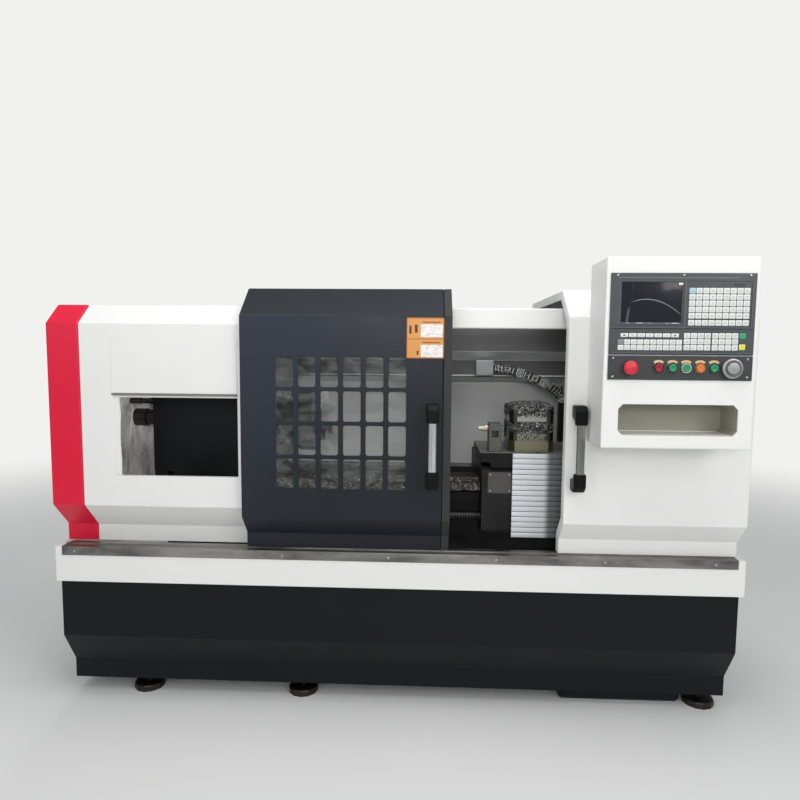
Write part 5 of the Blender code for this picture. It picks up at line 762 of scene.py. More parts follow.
# Maker, colour and settings of each finish; a colour in words is one of LatheColours
FINISHES = {
    "white_paint": (paint, "white", 0.36, {"tone": 0.02}),
    "white_solid": (paint, "white", 0.4, {"tone": 0.02, "edge": 0.0015}),
    "charcoal_paint": (paint, "stand", 0.4, {"tone": 0.12, "edge": 0.0025, "shine": 0.16}),
    "door_paint": (door_paint, "charcoal"),
    "panel_paint": (panel_paint, "white"),
    "red_paint": (paint, "red", 0.34, {"tone": 0.05, "shine": 0.3}),
    "inner_grey": (paint, "grey", 0.42, {"tone": 0.06, "edge": 0.001}),
    "guard_paint": (guard_paint, screen(226, 227, 225)),
    "frame_light": (paint, screen(232, 233, 230), 0.4, {"tone": 0.03}),
    "panel_seam": (moulded, screen(120, 120, 117), 0.6, 300),
    "navy_paint": (casting, screen(15, 17, 20), 0.5, 0.0),
    "motor_grey": (paint, screen(164, 167, 168), 0.42, 0.0003, 0.08, 0.0012),
    "strip_steel": (track_face, (0.2, 0.195, 0.185)),
    "notice_white": (smeared, screen(232, 226, 220)),
    "notice_edge": (moulded, screen(150, 88, 44), 0.5),
    "notice_mark": (moulded, screen(84, 42, 12), 0.5),
    "turret_steel": (ground, (0.07, 0.07, 0.064), 0.36, (60, 60, 90)),
    "screw_oiled": (ground, (0.1, 0.1, 0.1), 0.34, (40, 40, 40)),
    "bar_steel": (ground, (0.45, 0.45, 0.43), 0.17, (400, 400, 3), 0.0),
    "stainless": (ground, (0.62, 0.62, 0.6), 0.3, (3, 420, 420)),
    "foot_steel": (ground, (0.06, 0.055, 0.05), 0.42, (60, 60, 60)),
    "black_steel": (ground, (0.045, 0.043, 0.04), 0.4, (90, 90, 90)),
    "ground_steel": (ground, (0.55, 0.55, 0.54), 0.3),
    "screw_steel": (ground, (0.5, 0.5, 0.5), 0.24, (40, 40, 40), 0.0),
    "bright_steel": (ground, (0.78, 0.79, 0.8), 0.2, (300, 300, 3), 0.0),
    "brushed_dial": (ground, (0.42, 0.43, 0.43), 0.36, (160, 30, 160), 0.0, 0.7),
    "dial_shade": (ground, (0.16, 0.165, 0.165), 0.4, (160, 30, 160), 0.0, 0.6),
    "brass": (ground, (0.72, 0.66, 0.48), 0.36, (60, 60, 60)),
    "olive_band": (ground, (0.27, 0.255, 0.175), 0.36, (60, 60, 200)),
    "skirt_band": (ground, (0.3, 0.28, 0.22), 0.32, (90, 90, 200), 0.0, 0.5),
    "tool_disc": (ground, (0.4, 0.4, 0.38), 0.45, (60, 60, 300), 0.0, 0.2),
    "dark_cast_iron": (casting, (0.016, 0.016, 0.0165), 0.52),
    "slide_casting": (slide_casting, (0.007, 0.007, 0.007)),
    "plate_brown": (ground, screen(80, 75, 71), 0.55, (200, 200, 6), 0.0, 0.1),
    "block_grey": (paint, screen(80, 84, 77), 0.5, 0.0003, 0.12, 0.001),
    "black_plastic": (moulded, (0.018, 0.018, 0.02), 0.38, {"edge": 0.0006, "specular_ior_level": 0.25}),
    "gloss_black": (moulded, (0.006, 0.006, 0.0065), 0.36, 500, {"specular_ior_level": 0.12}),
    "seal_rubber": (moulded, (0.022, 0.022, 0.023), 0.62, 200),
    "slat_aluminium": (slat_face, "slat"),
    "clear_pane": (clear_pane, (0.62, 0.66, 0.64)),
    "screen_glass": (screen_face, (0.012, 0.014, 0.019)),
    "plate_paint": (moulded, "plate", 0.4, 600),
    "lower_plate": (moulded, screen(52, 55, 55), 0.42, 600, 0.0008),
    "key_white": (key_face, "key", screen(84, 86, 86)),
    "key_blue": (key_face, screen(170, 206, 220), screen(86, 104, 116)),
    "deep_black": (moulded, (0.004, 0.004, 0.005), 0.3, 500),
    "rail_grey": (moulded, screen(108, 114, 118), 0.36, 600),
    "key_dark": (key_face, screen(140, 142, 142), screen(70, 72, 72)),
    "key_green": (key_face, screen(52, 160, 116), screen(30, 92, 66)),
    "key_yellow": (key_face, screen(228, 222, 92), screen(130, 126, 40)),
    "notice_orange": (moulded, "notice", 0.34, 400),
    "label_white": (moulded, screen(230, 226, 214), 0.4, 500),
    "label_orange": (moulded, screen(206, 92, 52), 0.4, 500),
    "button_red": (moulded, screen(160, 16, 40), 0.26, 500, {"coat_weight": 0.4}),
    "stop_red": (moulded, screen(208, 40, 58), 0.34, 500),
    "button_green": (moulded, screen(22, 140, 92), 0.26, 500, {"coat_weight": 0.4}),
    "button_amber": (moulded, screen(214, 122, 48), 0.26, 500, {"coat_weight": 0.4}),
    "turret_film": (wrap_film, screen(36, 37, 32), (0.85, 0.85, 0.78), 0.86, 30, 0.57),
    "way_film": (wrap_film, screen(40, 34, 26), (0.9, 0.87, 0.78), 0.92, 22, 0.64, 0.002),
    "chain_film": (wrap_film, screen(150, 154, 156), (0.9, 0.91, 0.92), 0.55, 60, 0.46),
    "hatch_film": (hanging_film, (0.94, 0.94, 0.92)),
    "arc_label": (arc_label, screen(226, 206, 150)),
    "chain_links": (chain_face_with_glints, (0.02, 0.02, 0.022)),
}


def finish(name):
    """The finish of that name, made when it is first asked for."""
    label = "lathe_" + name
    known = bpy.data.materials.get(label)
    if known:
        return known
    maker, colour, *settings = FINISHES[name]
    if isinstance(colour, str):
        colour = tuple(getattr(bpy.context.scene.lathe_colours, colour))
    options = settings.pop() if settings and isinstance(settings[-1], dict) else {}
    return maker(label, colour, *settings, **options).material


# Operators


class LathePiece:
    """What the operators that build the lathe have in common."""

    bl_options = {"REGISTER", "UNDO"}

    def execute(self, context):
        self.build(context.scene.lathe_sizes)
        return {"FINISHED"}


# Solids whose finish isn't that of their slot in the record
NODE_FINISHES = {"panel_box": "panel_paint", "track_strip": "strip_steel", "turret_head": "turret_steel",
                 "button_plate": "lower_plate", "turret_base": "olive_band", "emergency_stop": "stop_red",
                 "coolant_block": "block_grey", "rear_guard": "guard_paint", "cross_slide": "slide_casting",
                 **dict.fromkeys(("tail_cover", "chip_tray", "front_beam", "roof_rail", "rear_post"),
                                 "white_solid")}

# Folds of a cover: depth and height of the foot strip, height of the face's foot, and drop and depth of
# the bevel under the roof
DOOR_FOLDS = (0.062, 0.051, 0.120, 0.099, 0.1185)
COVER_FOLDS = (0.087, 0.059, 0.150, 0.067, 0.077)
REAR_LIP = 0.034


def folded_section(node, folds):
    """Corners (y, z) of a cover: strip, lower bevel, face, upper bevel, roof and rear lip."""
    (_, face, foot), (_, rear, roof) = box_of(node)
    strip_depth, strip_height, face_foot, bevel_drop, bevel_depth = folds
    return [(face + strip_depth, foot), (face + strip_depth, foot + strip_height), (face, foot + face_foot),
            (face, roof - bevel_drop), (face + bevel_depth, roof), (rear, roof), (rear, roof - REAR_LIP)]


def cover_skin(node, folds, lip, sizes, hole=None):
    """Folded sheet in place of a cover's solid."""
    low, high = box_of(node)
    return folded_skin(folded_section(node, folds), low[0], high[0], sizes.sheet, lip, sizes.fold, hole)


class LATHE_OT_finishes(LathePiece, bpy.types.Operator):
    """Give every solid of the frame its procedural finish"""

    bl_idname = "lathe.finishes"
    bl_label = "Finishes of the solids"

    def build(self, sizes):
        for name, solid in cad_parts.items():
            for place in solid.material_slots:
                slot = place.material.name.split(".")[0]
                place.material = finish(NODE_FINISHES.get(name, slot))


class LATHE_OT_left_door(LathePiece, bpy.types.Operator):
    """Left door: folded sheet with a grid of windows whose edges are rounded"""

    bl_idname = "lathe.left_door"
    bl_label = "Left door"

    def build(self, sizes):
        low, _ = box_of("left_door")
        columns, rows = 6, 4
        width, height, across, up = 0.059, 0.1015, 0.0761, 0.1152
        first_x, first_z = low[0] + 0.122, low[2] + DOOR_FOLDS[2] + 0.106
        margin_x, margin_z = (across - width) / 2, (up - height) / 2
        hole = (first_x - margin_x, first_x - margin_x + across * columns,
                first_z - margin_z, first_z - margin_z + up * rows)
        parts = cover_skin("left_door", DOOR_FOLDS, sizes.door_lip, sizes, hole)
        rings = edge_rings(0.0009, sizes.sheet)
        for column, row in np.ndindex(columns, rows):
            left, bottom = hole[0] + across * column, hole[2] + up * row
            window = (left + margin_x, left + margin_x + width, bottom + margin_z, bottom + margin_z + height)
            cell = (left, left + across, bottom, bottom + up)
            parts.append(window_cell(cell, window, low[1], sizes.window_corner, rings))
        piece("left_door_skin", parts, ["door_paint"], "left_door", ["left_door"])


class LATHE_OT_right_door(LathePiece, bpy.types.Operator):
    """Right door: folded sheet that carries the operator panel"""

    bl_idname = "lathe.right_door"
    bl_label = "Right door"

    def build(self, sizes):
        parts = cover_skin("right_door", DOOR_FOLDS, sizes.door_lip, sizes)
        piece("right_door_skin", parts, ["white_paint"], "right_door", ["right_door"])


class LATHE_OT_headstock_cover(LathePiece, bpy.types.Operator):
    """Cover over the headstock, with its hatch, and the removable access panel over the hatch"""

    bl_idname = "lathe.headstock_cover"
    bl_label = "Headstock cover"

    def build(self, sizes):
        low, _ = box_of("headstock_cover")
        face, left, bottom = low[1], low[0] + 0.113, low[2] + 0.258
        right, top = left + 0.4387, bottom + 0.286
        cell = (left - 0.03, right + 0.02, bottom - 0.02, top + 0.02)
        parts = cover_skin("headstock_cover", COVER_FOLDS, sizes.cover_lip, sizes, cell)
        parts.append(window_cell(cell, (left, right, bottom, top), face, 0.0025,
                                 edge_rings(0.001, sizes.sheet)))
        piece("headstock_cover_skin", parts, ["white_paint"], "machine", ["headstock_cover"])
        plate = block((left, face - 0.0016, top + 0.0030), (left + 0.438, face - 0.0001, top + 0.192),
                      0.0012, 0.003)
        # grey strip along the access panel's lower edge: the seam, darkened as painted shade of the groove
        # under the panel
        seam_shade_strip = block((left - 0.0015, face - 0.0012, top - 0.0058),
                       (left + 0.4380, face + 0.003, top + 0.0022), 0.0006, 0.001, look=1)
        piece("access_panel", [plate, seam_shade_strip], ["white_paint", "panel_seam"], "machine")
        slit = 0.0008
        liner_and_shade = window_cell((left + slit, right - slit, bottom + slit, top - slit),
                            (left + 0.021, right - 0.003, bottom + 0.001, top - 0.0125),
                            face + 0.006, 0.002, [(0.0008, 0.0), (0.0, 0.0008), (0.0, 0.002)])
        piece("hatch_liner", [liner_and_shade], ["white_paint"], "machine")


class LATHE_OT_hatch_film(LathePiece, bpy.types.Operator):
    """Packing film that hangs behind the hatch, the encoder's plug and a dark plate under the belt guard as
    painted shade
    """

    bl_idname = "lathe.hatch_film"
    bl_label = "Film behind the hatch"

    def build(self, sizes):
        low, _ = box_of("headstock_cover")
        guard_left, face, _ = box_of("belt_guard")[0]
        foot, head, width, depth = 0.735, 1.10, 0.147, 0.024
        up = np.linspace(foot, head, 220)[None]
        across = low[0] - 0.098 + width * np.linspace(0, 1, 150)[:, None]
        slack = 0.005 * ridges(across * 70, up * 34, 5, 11) + 0.004 * np.sin(across * 60 + 3 * np.sin(up * 9))
        points = np.stack((across + 0.002 * np.sin(up * 26), depth + slack, up + 0 * across), -1)
        piece("hatch_film", [weave(points)], ["hatch_film"], "machine", crease=80)
        # dark plate under the belt guard: painted shade
        shade_plate = block((guard_left + 0.0852, face + 0.002, 0.770),
                      (guard_left + 0.135, face + 0.008, 0.8118), 0.002)
        piece("drip_skirt", [shade_plate], ["navy_paint"], "machine")
        reach = 0.118
        plug = [(-reach, 0), (-reach, 0.0095), (-reach + 0.002, 0.0125), (-reach + 0.05, 0.0125),
                (-reach + 0.052, 0.0105), (-0.0305, 0.0105), (-0.0295, 0.014), (0, 0.014), (0, 0)]
        piece("encoder_plug", [turned(plug, (guard_left, 0.0, 1.0605), steps=28)], ["black_steel"],
              "machine")


class LATHE_OT_end_trim(LathePiece, bpy.types.Operator):
    """Red trim at the left end"""

    bl_idname = "lathe.end_trim"
    bl_label = "End trim"

    def build(self, sizes):
        parts = cover_skin("end_trim", COVER_FOLDS, sizes.trim_lip, sizes)
        piece("end_trim_skin", parts, ["red_paint"], "machine", ["end_trim"])


class LATHE_OT_guard_frame(LathePiece, bpy.types.Operator):
    """Light bead along the rear guard's second band, the frame of its wall panel and its closed end"""

    bl_idname = "lathe.guard_frame"
    bl_label = "Guard frame"

    def build(self, sizes):
        low, high = box_of("rear_guard")
        band, wall = low[1] + 0.060, low[1] + 0.180
        foot, head, right = 0.66, high[2] - 0.2605, 0.738
        lip, bar = high[2] - 0.224, 0.012
        left, start, end = low[0] + 0.03, low[0] + 0.004, high[0] - 0.004
        parts = [block((start, band - 0.0045, lip - 0.0035), (end, band - 0.0002, lip + 0.0035), 0.001),
                 block((start, band - 0.0030, lip - 0.0070), (end, band + 0.0008, lip - 0.0036),
                       0.0008, look=1)]
        for a, b, c, d in ((right, right + bar, foot, head), (left, right, head - bar, head),
                           (left, right, foot, foot + bar)):
            parts.append(block((a, wall - 0.007, c), (b, wall - 0.0002, d), 0.0015))
        parts.append(block((right - 0.006, wall - 0.0022, foot + bar),
                           (right - 0.0002, wall - 0.0002, head - bar), 0.0006, look=1))
        outline = np.array([(low[1] + 0.0004, foot), (wall - 0.0005, foot), (wall - 0.0005, high[2] - 0.2595),
                            (band - 0.0005, high[2] - 0.2245), (band - 0.0005, high[2] - 0.1545),
                            (low[1] + 0.0004, high[2] - 0.1195)])
        middle = np.array((low[1] + 0.027, 0.9))
        rings = [np.column_stack((np.full(6, low[0] + x), outline * share + middle * (1 - share)))
                 for x, share in ((0.0002, 0.0), (0.0002, 1.0), (0.0030, 1.0), (0.0030, 0.0))]
        piece("guard_end", [weave(np.array(rings), ring=True)], ["guard_paint"], "machine")
        piece("guard_frame", parts, ["frame_light", "seal_rubber"], "machine")


class LATHE_OT_saddle_plate(LathePiece, bpy.types.Operator):
    """Wiper plate on the front of the saddle, with its screws"""

    bl_idname = "lathe.saddle_plate"
    bl_label = "Saddle plate"

    def build(self, sizes):
        face = box_of("saddle")[0][1]
        x0, x1, z0, z1 = 0.3365, 0.4222, 0.7655, 0.8430
        plate = block((x0, face - 0.0016, z0), (x1, face - 0.0001, z1), 0.0006, 0.003)
        heads = screw_heads([(x, face - 0.0016, z) for x in (x0 + 0.008, x1 - 0.008)
                             for z in (z0 + 0.009, z1 - 0.009)], 0.0030, 0.0012, look=1)
        piece("saddle_plate", [plate] + heads, ["plate_brown", "screw_steel"], "saddle")


def handle_parts(node):
    """Bar and brackets of a handle: rounded sections whose near and far side follow the height."""
    low, high = box_of(node)
    middle, face, far = (low[0] + high[0]) / 2, high[1], low[1] + 0.002
    half, bar_depth, height = (high[0] - low[0]) / 2, 0.014, 0.062
    share = np.array((0, 0.015, 0.05, 0.12, 0.2, 0.3, 0.4, 0.5, 0.6, 0.68, 0.76, 0.84, 0.93, 0.985, 1.0))
    end = np.array((0.86, 0.94, 0.985) + (1.0,) * 9 + (0.985, 0.94, 0.86))
    out = face + (far - 0.002 - face) * np.interp(share, (0, 0.3, 1), (0.72, 1, 1))
    inner = far + bar_depth + 0.006
    near = np.interp(share, (0, 0.6, 0.78, 1), (face, face, inner, inner))
    depth = (near - out) / 2 * end
    rings = np.array([round_corners(half * e, d, min(0.007, d * 0.9), 0, 4) + (0, middle_depth)
                      for e, d, middle_depth in zip(end, depth, (near + out) / 2)])
    parts = []
    for foot, sense in ((low[2], 1), (high[2], -1)):
        points = np.empty(rings.shape[:2] + (3,))
        points[..., 0] = middle + rings[..., 0]
        points[..., 1] = rings[..., 1]
        points[..., 2] = (foot + sense * share * height)[:, None]
        parts.append(weave(closed_ends(points), ring=True, look=1))
    bar = block((middle - 0.0135, far, low[2] + 0.03), (middle + 0.0135, far + bar_depth, high[2] - 0.03),
                0.001, 0.0062, 2, steps=6)
    return parts + [bar]


class LATHE_OT_handles(LathePiece, bpy.types.Operator):
    """Door handles: a bright bar on the left door and a dark one on the right, in moulded brackets"""

    bl_idname = "lathe.handles"
    bl_label = "Handles"

    def build(self, sizes):
        for side, bar in (("left", "bright_steel"), ("right", "bar_steel")):
            node = side + "_door_handle"
            piece(node + "_grip", handle_parts(node), [bar, "gloss_black"], side + "_door", [node])


# Fields of the notice plate: left, right, bottom and top as shares of the plate, and the finish's number
PRINTED_FIELDS = (
    (0.375, 0.965, 0.525, 0.835, 1), (0.375, 0.965, 0.030, 0.335, 1),
    (0.010, 0.990, 0.470, 0.486, 2), (0.010, 0.990, 0.980, 0.996, 2), (0.010, 0.990, 0.004, 0.018, 2),
    (0.004, 0.018, 0.004, 0.996, 2), (0.975, 0.996, 0.004, 0.996, 2),
    (0.42, 0.90, 0.880, 0.900, 3), (0.42, 0.90, 0.380, 0.400, 3),
    (0.07, 0.13, 0.600, 0.800, 3), (0.22, 0.29, 0.630, 0.830, 3), (0.27, 0.32, 0.090, 0.190, 3))


class LATHE_OT_notice(LathePiece, bpy.types.Operator):
    """Blank notice plate on the left door, with two white fields"""

    bl_idname = "lathe.notice"
    bl_label = "Notice plate"

    def build(self, sizes):
        face = box_of("left_door")[0][1]
        x0, x1, z0, z1 = 0.0424, 0.1663, 1.2527, 1.3866
        parts = [block((x0, face - 0.0008, z0), (x1, face, z1), 0.0003, 0.002)]
        for a, b, c, d, look in PRINTED_FIELDS:
            rise = 0.0012 if look == 3 else 0.0011
            parts.append(block((x0 + (x1 - x0) * a, face - rise, z0 + (z1 - z0) * c),
                               (x0 + (x1 - x0) * b, face - 0.0006, z0 + (z1 - z0) * d),
                               0.0002, 0.0006, look=look, arc=1, steps=1))
        piece("notice_plate", parts, ["notice_orange", "notice_white", "notice_edge", "notice_mark"],
              "left_door")


class LATHE_OT_track_screws(LathePiece, bpy.types.Operator):
    """Screws that hold the track strip to the tray"""

    bl_idname = "lathe.track_screws"
    bl_label = "Track screws"

    def build(self, sizes):
        low, high = box_of("track_strip")
        count, strip_top = 7, 0.576
        across = np.linspace(low[0] + 0.045, high[0] - 0.075, count)
        heads = screw_heads([(x, low[1], (low[2] + strip_top) / 2) for x in across], 0.0048, 0.0022)
        piece("track_screws", heads, ["screw_steel"], "machine")


# Groups of keys: their field, its shares left, top, width and height, and the columns and rows
KEY_GROUPS = (
    ("beside", (0.095, 0.125, 0.825, 0.895), 9, 6),
    ("under", (0.0, 0.295, 0.985, 0.14), 7, 1),
    ("under", (-0.04, 0.495, 1.08, 0.365), 10, 2),
    ("right", (0.048, 0.275, 0.37, 0.58), 4, 3),
    ("right", (0.43, 0.275, 0.36, 0.58), 4, 3),
    ("right", (0.80, 0.27, 0.09, 0.57), 1, 2),
)
MAIN_KEYS, ARROW_KEYS, LONE_KEYS = 0, 1, 5
# Keys that aren't white, by group, column and row
KEY_COLOURS = {(0, 0, 0): "key_blue", (2, 0, 0): "key_dark", (5, 0, 0): "key_green", (5, 0, 1): "key_yellow"}
PLATE_FINISHES = ("plate_paint", "key_white", "key_blue", "key_green", "key_yellow", "deep_black",
                  "label_white", "screw_steel", "key_dark", "rail_grey")


def plate_look(name):
    """Number of a finish on the control plate."""
    return PLATE_FINISHES.index(name)


def plate_keys(fields, front, rise):
    """Pillow keys in grids over shares of the plate's fields, with a dark mark on the outer arrow keys."""
    parts = []
    for group, (field, shares, columns, rows) in enumerate(KEY_GROUPS):
        x, wide, z, tall = fields[field]
        left, top = x + wide * shares[0], z - tall * shares[1]
        across, down = wide * shares[2] / columns, tall * shares[3] / rows
        for column, row in np.ndindex(columns, rows):
            look = plate_look(KEY_COLOURS.get((group, column, row), "key_white"))
            drop = down * 0.12 if group == MAIN_KEYS and row == rows - 1 else 0
            a, b = left + across * (column + 0.045), top - down * (row + 0.95) - drop
            height = down * (0.64 if group == LONE_KEYS else 0.90)
            b += down * 0.26 * (group == LONE_KEYS and row == 0)
            parts.append(block((a, front - rise, b), (a + across * 0.91, front + 0.0008, b + height),
                               0.0009, 0.0014, look=look, arc=2, steps=2))
            if group == ARROW_KEYS and column in (0, columns - 1):
                parts.append(block((a + across * 0.33, front - rise - 0.0002, b + down * 0.3),
                                   (a + across * 0.53, front, b + down * 0.56), 0.0001, 0.0004,
                                   look=plate_look("deep_black"), arc=1, steps=1))
    return parts


class LATHE_OT_control_plate(LathePiece, bpy.types.Operator):
    """Control plate: framed screen opening, pillow keys in groups, oval, dividers and screws"""

    bl_idname = "lathe.control_plate"
    bl_label = "Control plate"

    def build(self, sizes):
        low, high = box_of("control_plate")
        (x0, _, z0), (x1, _, z1) = box_of("display_screen")
        front = low[1] + sizes.key_rise
        depth = high[1] - front
        rings = [(0.0038, 0.0), (0.0035, -0.0009), (0.0028, -0.0012), (0.0012, -0.0012), (0.0004, -0.0006),
                 (0.0002, 0.0), (0.0002, depth)]
        left, right, foot, head = low[0], high[0], low[2], high[2]
        parts = [window_cell((left, right, foot, head), (x0, x1, z0, z1), front, 0.001, rings)]
        parts.append(weave(np.array([[(x, y, z) for x, z in ((left, foot), (right, foot), (right, head),
                                                             (left, head))]
                                     for y in (front, front + depth)]), ring=True))
        parts += plate_keys({"beside": (x1, right - x1, z1, z1 - z0), "under": (x0, x1 - x0, z0, z0 - foot),
                             "right": (x1, right - x1, z0, z0 - foot)}, front, sizes.key_rise)
        line = 0.0012
        last_row = z1 - (z1 - z0) * (0.125 + 0.895 / 6 * 5.06)
        lines = ((left + 0.020, x1 + 0.1620, head - 0.0150, 0.0022, "rail_grey"),
                 (left + 0.004, right - 0.004, z0 - 0.0112, line, "rail_grey"),
                 (left + 0.004, right - 0.004, z0 - 0.0142, 0.0020, "deep_black"),
                 (left + 0.004, right - 0.004, foot + 0.0045, line, "rail_grey"),
                 (left + 0.004, right - 0.004, foot + 0.0012, 0.0018, "deep_black"),
                 (x1 + 0.0135, right - 0.014, z1 + 0.0030, line, "deep_black"),
                 (x1 + 0.0160, right - 0.016, last_row, line, "deep_black"))
        uprights = ((x0 - 0.0052, z0 - 0.002, z1 + 0.002, "rail_grey"),
                    (x1 + 0.0042, z0 - 0.002, z1 + 0.002, "deep_black"),
                    (x1 + 0.0105, z0 - 0.007, z1 + 0.003, "rail_grey"),
                    (right - 0.0130, z0 - 0.007, z1 + 0.003, "deep_black"),
                    (right - 0.0098, z0 - 0.007, z1 + 0.003, "rail_grey"))
        for a, b, c, d, look in ([(a, b, c, c + tall, look) for a, b, c, tall, look in lines]
                                 + [(a, a + line, c, d, look) for a, c, d, look in uprights]):
            parts.append(block((a, front - 0.0007, c), (b, front + 0.0004, d), 0.0004,
                               look=plate_look(look), arc=1, steps=1))
        oval = block((x1 + 0.148, front - 0.0008, z1 - 0.0112), (x1 + 0.181, front + 0.0004, z1 - 0.0002),
                     0.0003, 0.005, look=plate_look("deep_black"), steps=5)
        tab = block((x1 - 0.011, front - 0.0019, z1 - 0.008), (x1 + 0.001, front + 0.0004, z1 - 0.0015),
                    0.0002, 0.0006, look=plate_look("label_white"))
        parts += [oval, tab]
        parts += screw_heads([(x, front, head - 0.006)
                              for x in (left + 0.02, (left + right) / 2, right - 0.018)],
                             0.0034, 0.0014, look=plate_look("screw_steel"))
        piece("control_face", parts, PLATE_FINISHES, "right_door", ["control_plate"])


class LATHE_OT_display(LathePiece, bpy.types.Operator):
    """Display glass with rounded edges, set behind its frame"""

    bl_idname = "lathe.display"
    bl_label = "Display"

    def build(self, sizes):
        low, high = box_of("display_screen")
        glass = block(low, (high[0], high[1] - 0.0002, high[2]), 0.0004, 0.001)
        piece("display_glass", [glass], ["screen_glass"], "right_door", ["display_screen"])


def knob(node):
    """Middle of a round control's front, its radius and its depth."""
    low, high = box_of(node)
    middle = (low + high) / 2
    return (middle[0], low[1], middle[2]), (high[0] - low[0]) / 2, high[1] - low[1]


class LATHE_OT_buttons(LathePiece, bpy.types.Operator):
    """Push buttons with bezels and label arcs, the emergency stop and the pulse dial"""

    bl_idname = "lathe.buttons"
    bl_label = "Buttons and dial"

    def build(self, sizes):
        low, high = box_of("button_plate")
        flange = 0.005
        seat = low[1] + flange
        self.push_buttons(seat)
        self.stop_button()
        self.dial()
        places = [(x, seat, z) for z in (high[2] - 0.009, low[2] + 0.009)
                  for x in (low[0] + 0.014, high[0] - 0.014)]
        piece("button_plate_screws", screw_heads(places, 0.0036, 0.0016), ["screw_steel"], "right_door")

    def push_buttons(self, seat):
        """Domed caps, and round each one a bezel, a bright rim and a label arc."""
        looks = ("gloss_black", "label_orange", "label_white", "arc_label", "label_orange", "screw_steel")
        ring = [(0.0, 0.0119), (-0.0032, 0.0121), (-0.0052, 0.0127), (-0.0054, 0.0138),
                (-0.0044, 0.0150), (0.0002, 0.0151), (0.0002, 0.0119)]
        rim = [(0.0002, 0.0152), (-0.0030, 0.0153), (-0.0036, 0.0159), (-0.0028, 0.0166),
               (0.0002, 0.0169), (0.0002, 0.0152)]
        turn = np.linspace(math.radians(50), math.radians(130), 13)
        arcs, bezels = [], []
        for number, (cap, bezel) in enumerate((("button_red", 0), ("button_green", 0), ("button_green", 2),
                                               ("button_amber", 1), ("button_green", 0)), 1):
            node = f"push_button_{number}"
            centre, reach, deep = knob(node)
            profile = [(0.0009, 0), (0.0006, reach * 0.5), (0.0, reach * 0.78), (0.0004, reach * 0.9),
                       (0.0014, reach), (deep - 0.0002, reach), (deep - 0.0002, 0)]
            piece(f"button_cap_{number}", [turned(profile, centre, 1, steps=32)], [cap],
                  f"button_{number}", [node])
            middle = (centre[0], seat, centre[2])
            bezels += [turned(ring, middle, 1, steps=36, look=bezel),
                       turned(rim, middle, 1, steps=36, look=looks.index("screw_steel"))]
            for inner, outer, band in ((0.0182, 0.0242, 3), (0.0242, 0.0249, 4)):
                edge = np.stack((np.full_like(turn, inner), np.full_like(turn, outer)), 1)
                points = np.stack((centre[0] + edge * np.cos(turn)[:, None],
                                   np.full(edge.shape, seat - 0.0006),
                                   centre[2] - 0.001 + edge * np.sin(turn)[:, None]), -1)
                arcs += shell(points, points + (0, 0.0008, 0), look=band)
        piece("button_bezels", bezels + arcs, looks, "right_door")

    def stop_button(self):
        """Mushroom head: a quarter ellipse turned about its stem."""
        centre, reach, deep = knob("emergency_stop")
        stem = 0.0089
        turn = np.linspace(0, np.pi / 2, 9)
        dome = np.stack((0.0085 * (1 - np.cos(turn)), reach * np.sin(turn)), 1)
        foot = np.array([(0.0125, reach), (0.0138, reach * 0.9), (0.0139, stem), (deep, stem), (deep, 0)])
        piece("stop_button", [turned(np.concatenate((dome, foot)), centre, 1)], ["stop_red"], "estop",
              ["emergency_stop"])

    def dial(self):
        """Spun disc in a knurled rim, with a finger recess."""
        centre, reach, deep = knob("pulse_dial")

        def knurl(along, angle):
            return np.where((along > 0.0075) & (along < deep - 0.004), 1 + 0.006 * np.cos(angle * 60), 1)

        disc = [(0.0, 0), (0.0, 0.0155), (0.0006, 0.0168), (0.0052, 0.0178)]
        annulus = [(0.0052, 0.0178), (0.0058, 0.0182), (0.0056, 0.0238)]
        rim = [(0.0056, 0.0238), (0.0040, 0.0246), (0.0040, reach - 0.0026), (0.0052, reach - 0.0008),
               (0.0078, reach - 0.0003), (0.0150, reach - 0.0003), (0.0166, reach - 0.0012), (0.0170, 0.005),
               (deep, 0.005), (deep, 0)]
        recess = turned([(0.0, 0), (-0.0002, 0.0086), (0.0004, 0.0092), (0.003, 0.0092)],
                        (centre[0] - 0.0052, centre[1] + 0.0002, centre[2] + 0.0052), 1, steps=28, look=1)
        spot = turned([(0.0, 0), (0.0, 0.0044), (0.0007, 0.0052), (0.004, 0.0052)],
                      (centre[0] - 0.0042, centre[1] - 0.0005, centre[2] + 0.0040), 1, steps=24)
        parts = [turned(disc, centre, 1, steps=180), turned(annulus, centre, 1, steps=180, look=2),
                 turned(rim, centre, 1, steps=180, wave=knurl), recess, spot]
        piece("dial_knob", parts, ["brushed_dial", "gloss_black", "dial_shade"], "dial", ["pulse_dial"])


class LATHE_OT_curtain(LathePiece, bpy.types.Operator):
    """Slat curtain: bowed slats that lap over each other, with notched right ends"""

    bl_idname = "lathe.curtain"
    bl_label = "Slat curtain"

    def build(self, sizes):
        low, high = box_of("slat_curtain")
        count = sizes.slats
        pitch = (high[2] - low[2]) / count
        across = np.concatenate((np.linspace(0, 0.97, 22), (0.985, 0.993, 1.0)))
        up = np.linspace(0, 1, 9)
        a, v = np.meshgrid(across, up)
        bow = 0.0012 * np.sin(np.pi * v) + 0.0010 * (1 - v)
        notch = np.where(a > 0.98, 0.0022 * (2 * v - 1) ** 2, 0)
        swing = 0.0030 * np.clip((a - 0.62) / 0.38, 0, 1) ** 1.5
        x = low[0] + (high[0] - low[0]) * a - notch
        y = low[1] + 0.0024 - bow + swing
        parts = []
        for slat in range(count):
            z = low[2] + pitch * slat + (pitch - 0.0009) * v
            front = np.stack((x, y, z), -1)
            parts += shell(front, front + (0, 0.0014, 0))
        spine = block((low[0] + 0.004, low[1] + 0.0045, low[2] + 0.001),
                      (high[0] - 0.006, high[1], high[2] - 0.001), 0.0004, look=1)
        piece("curtain_slats", parts + [spine], ["slat_aluminium", "black_steel"], "saddle",
              ["slat_curtain"])


